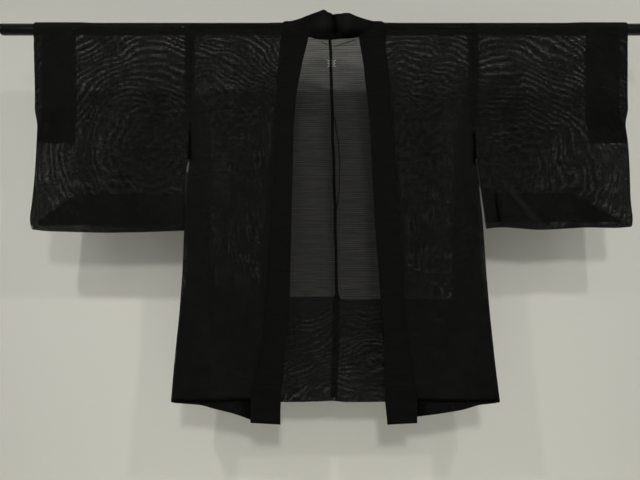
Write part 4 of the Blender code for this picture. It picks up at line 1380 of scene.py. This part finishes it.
def build_camera():
    """A level camera in front of the jacket."""
    data = bpy.data.cameras.new("camera")
    data.sensor_width = 36.0
    data.lens = 27.06
    data.clip_start = 0.01
    camera = place_object("camera", data, (-0.026, -1.072, -0.4689), (math.radians(90.0), 0.0, 0.0))
    bpy.context.scene.camera = camera


def build_room():
    """The pale walls and floor, the lights and the soft surrounding light."""
    wall = stage_material("pale wall", (0.80, 0.795, 0.735))
    floor = stage_material("pale floor", (0.80, 0.795, 0.75))
    for name, y, turn in (("back_wall", 0.15, 90.0), ("front_wall", -3.6, -90.0)):
        plane = build_stage_plane(name, (0.0, y, 1.0), turn, (9.0, 4.8), wall)
        plane.visible_shadow = False
    build_stage_plane("floor", (0.0, -1.1, -1.4), 0.0, (9.0, 5.0), floor)
    for lamp in LAMPS:
        build_light(**lamp)
    world = bpy.data.worlds.new("surroundings")
    bpy.context.scene.world = world
    world.use_nodes = True
    ground = world.node_tree.nodes["Background"].inputs
    ground["Color"].default_value = (0.93, 0.95, 1.0, 1.0)
    ground["Strength"].default_value = 0.335


GROUPS = dict(weave=ro_weave_group(), slubs=slub_group(), watering=watering_group())
sheer = {row["name"]: cloth_material(see_through=FACE_PASS, **row) for row in WATERING}
turned_cloth = cloth_material("turned hem cloth", FACE_PASS, (0.10, -0.95), 8.0, 1.0, 0.36, tone=1.06)
facing_cloth = cloth_material("facing cloth", FACE_PASS * 0.55, tone=1.05)
# The allowances' cloth is painted darker than the rest, as painted shade where it lies inside the cloth and
# in the slits.
strip_cloth = cloth_material("seam allowance cloth", FACE_PASS * 0.44, tone=0.55)
collar_cloth = cloth_material("collar cloth", 0.0, tone=0.86)

build_camera()
build_room()
bpy.context.scene.view_settings.view_transform = "Standard"

build_rod(rod_material())
collar = build_collar(collar_cloth)
black_thread = thread_material("black thread", (0.006, 0.006, 0.006))
pale_thread = thread_material("pale thread", (0.55, 0.55, 0.50))
centre_rows = strip_rows("back", CENTRE_STRIP, centre_edges)
selvedge_rows = strip_rows("back", SELVEDGE_STRIP, selvedge_edges)
extras = dict(left=[
    build_strip("centre_seam_strip", centre_rows, strip_cloth),
    build_strip("loose_selvedge", selvedge_rows, strip_cloth, columns=3),
    build_stitches("neck_tacks", NECK_TACKS, black_thread, (0.0017, 0.0005, 0.0012)),
    build_stitches("back_tack", BACK_TACK, pale_thread, (0.0027, 0.0004, 0.0007)),
], right=[])
for side in SIGN:
    body = build_body(side, sheer["sheer cloth body " + side])
    strips = [build_strip("armhole_strip_" + side, armhole_rows(side), strip_cloth, columns=13)]
    for leg in AHEAD:
        rows = strip_rows(leg, SIDE_STRIP, side_edges, side, leg)
        strips.append(build_strip(f"side_strip_{leg}_{side}", rows, strip_cloth, columns=9))
    rows = strip_rows("front", COLLAR_STRIP, collar_edges, side)
    strips += [build_strip("collar_strip_" + side, rows, strip_cloth, columns=7)] + extras[side]
    gusset = build_gusset(side, sheer["sheer cloth body " + side])
    hems = [build_body_hem(leg, side, turned_cloth) for leg in AHEAD]
    sleeve = build_sleeve(side, sheer["sheer cloth sleeve " + side])
    cuff = build_cuff_facing(side, facing_cloth)
    turning = build_sleeve_hem(side, facing_cloth)
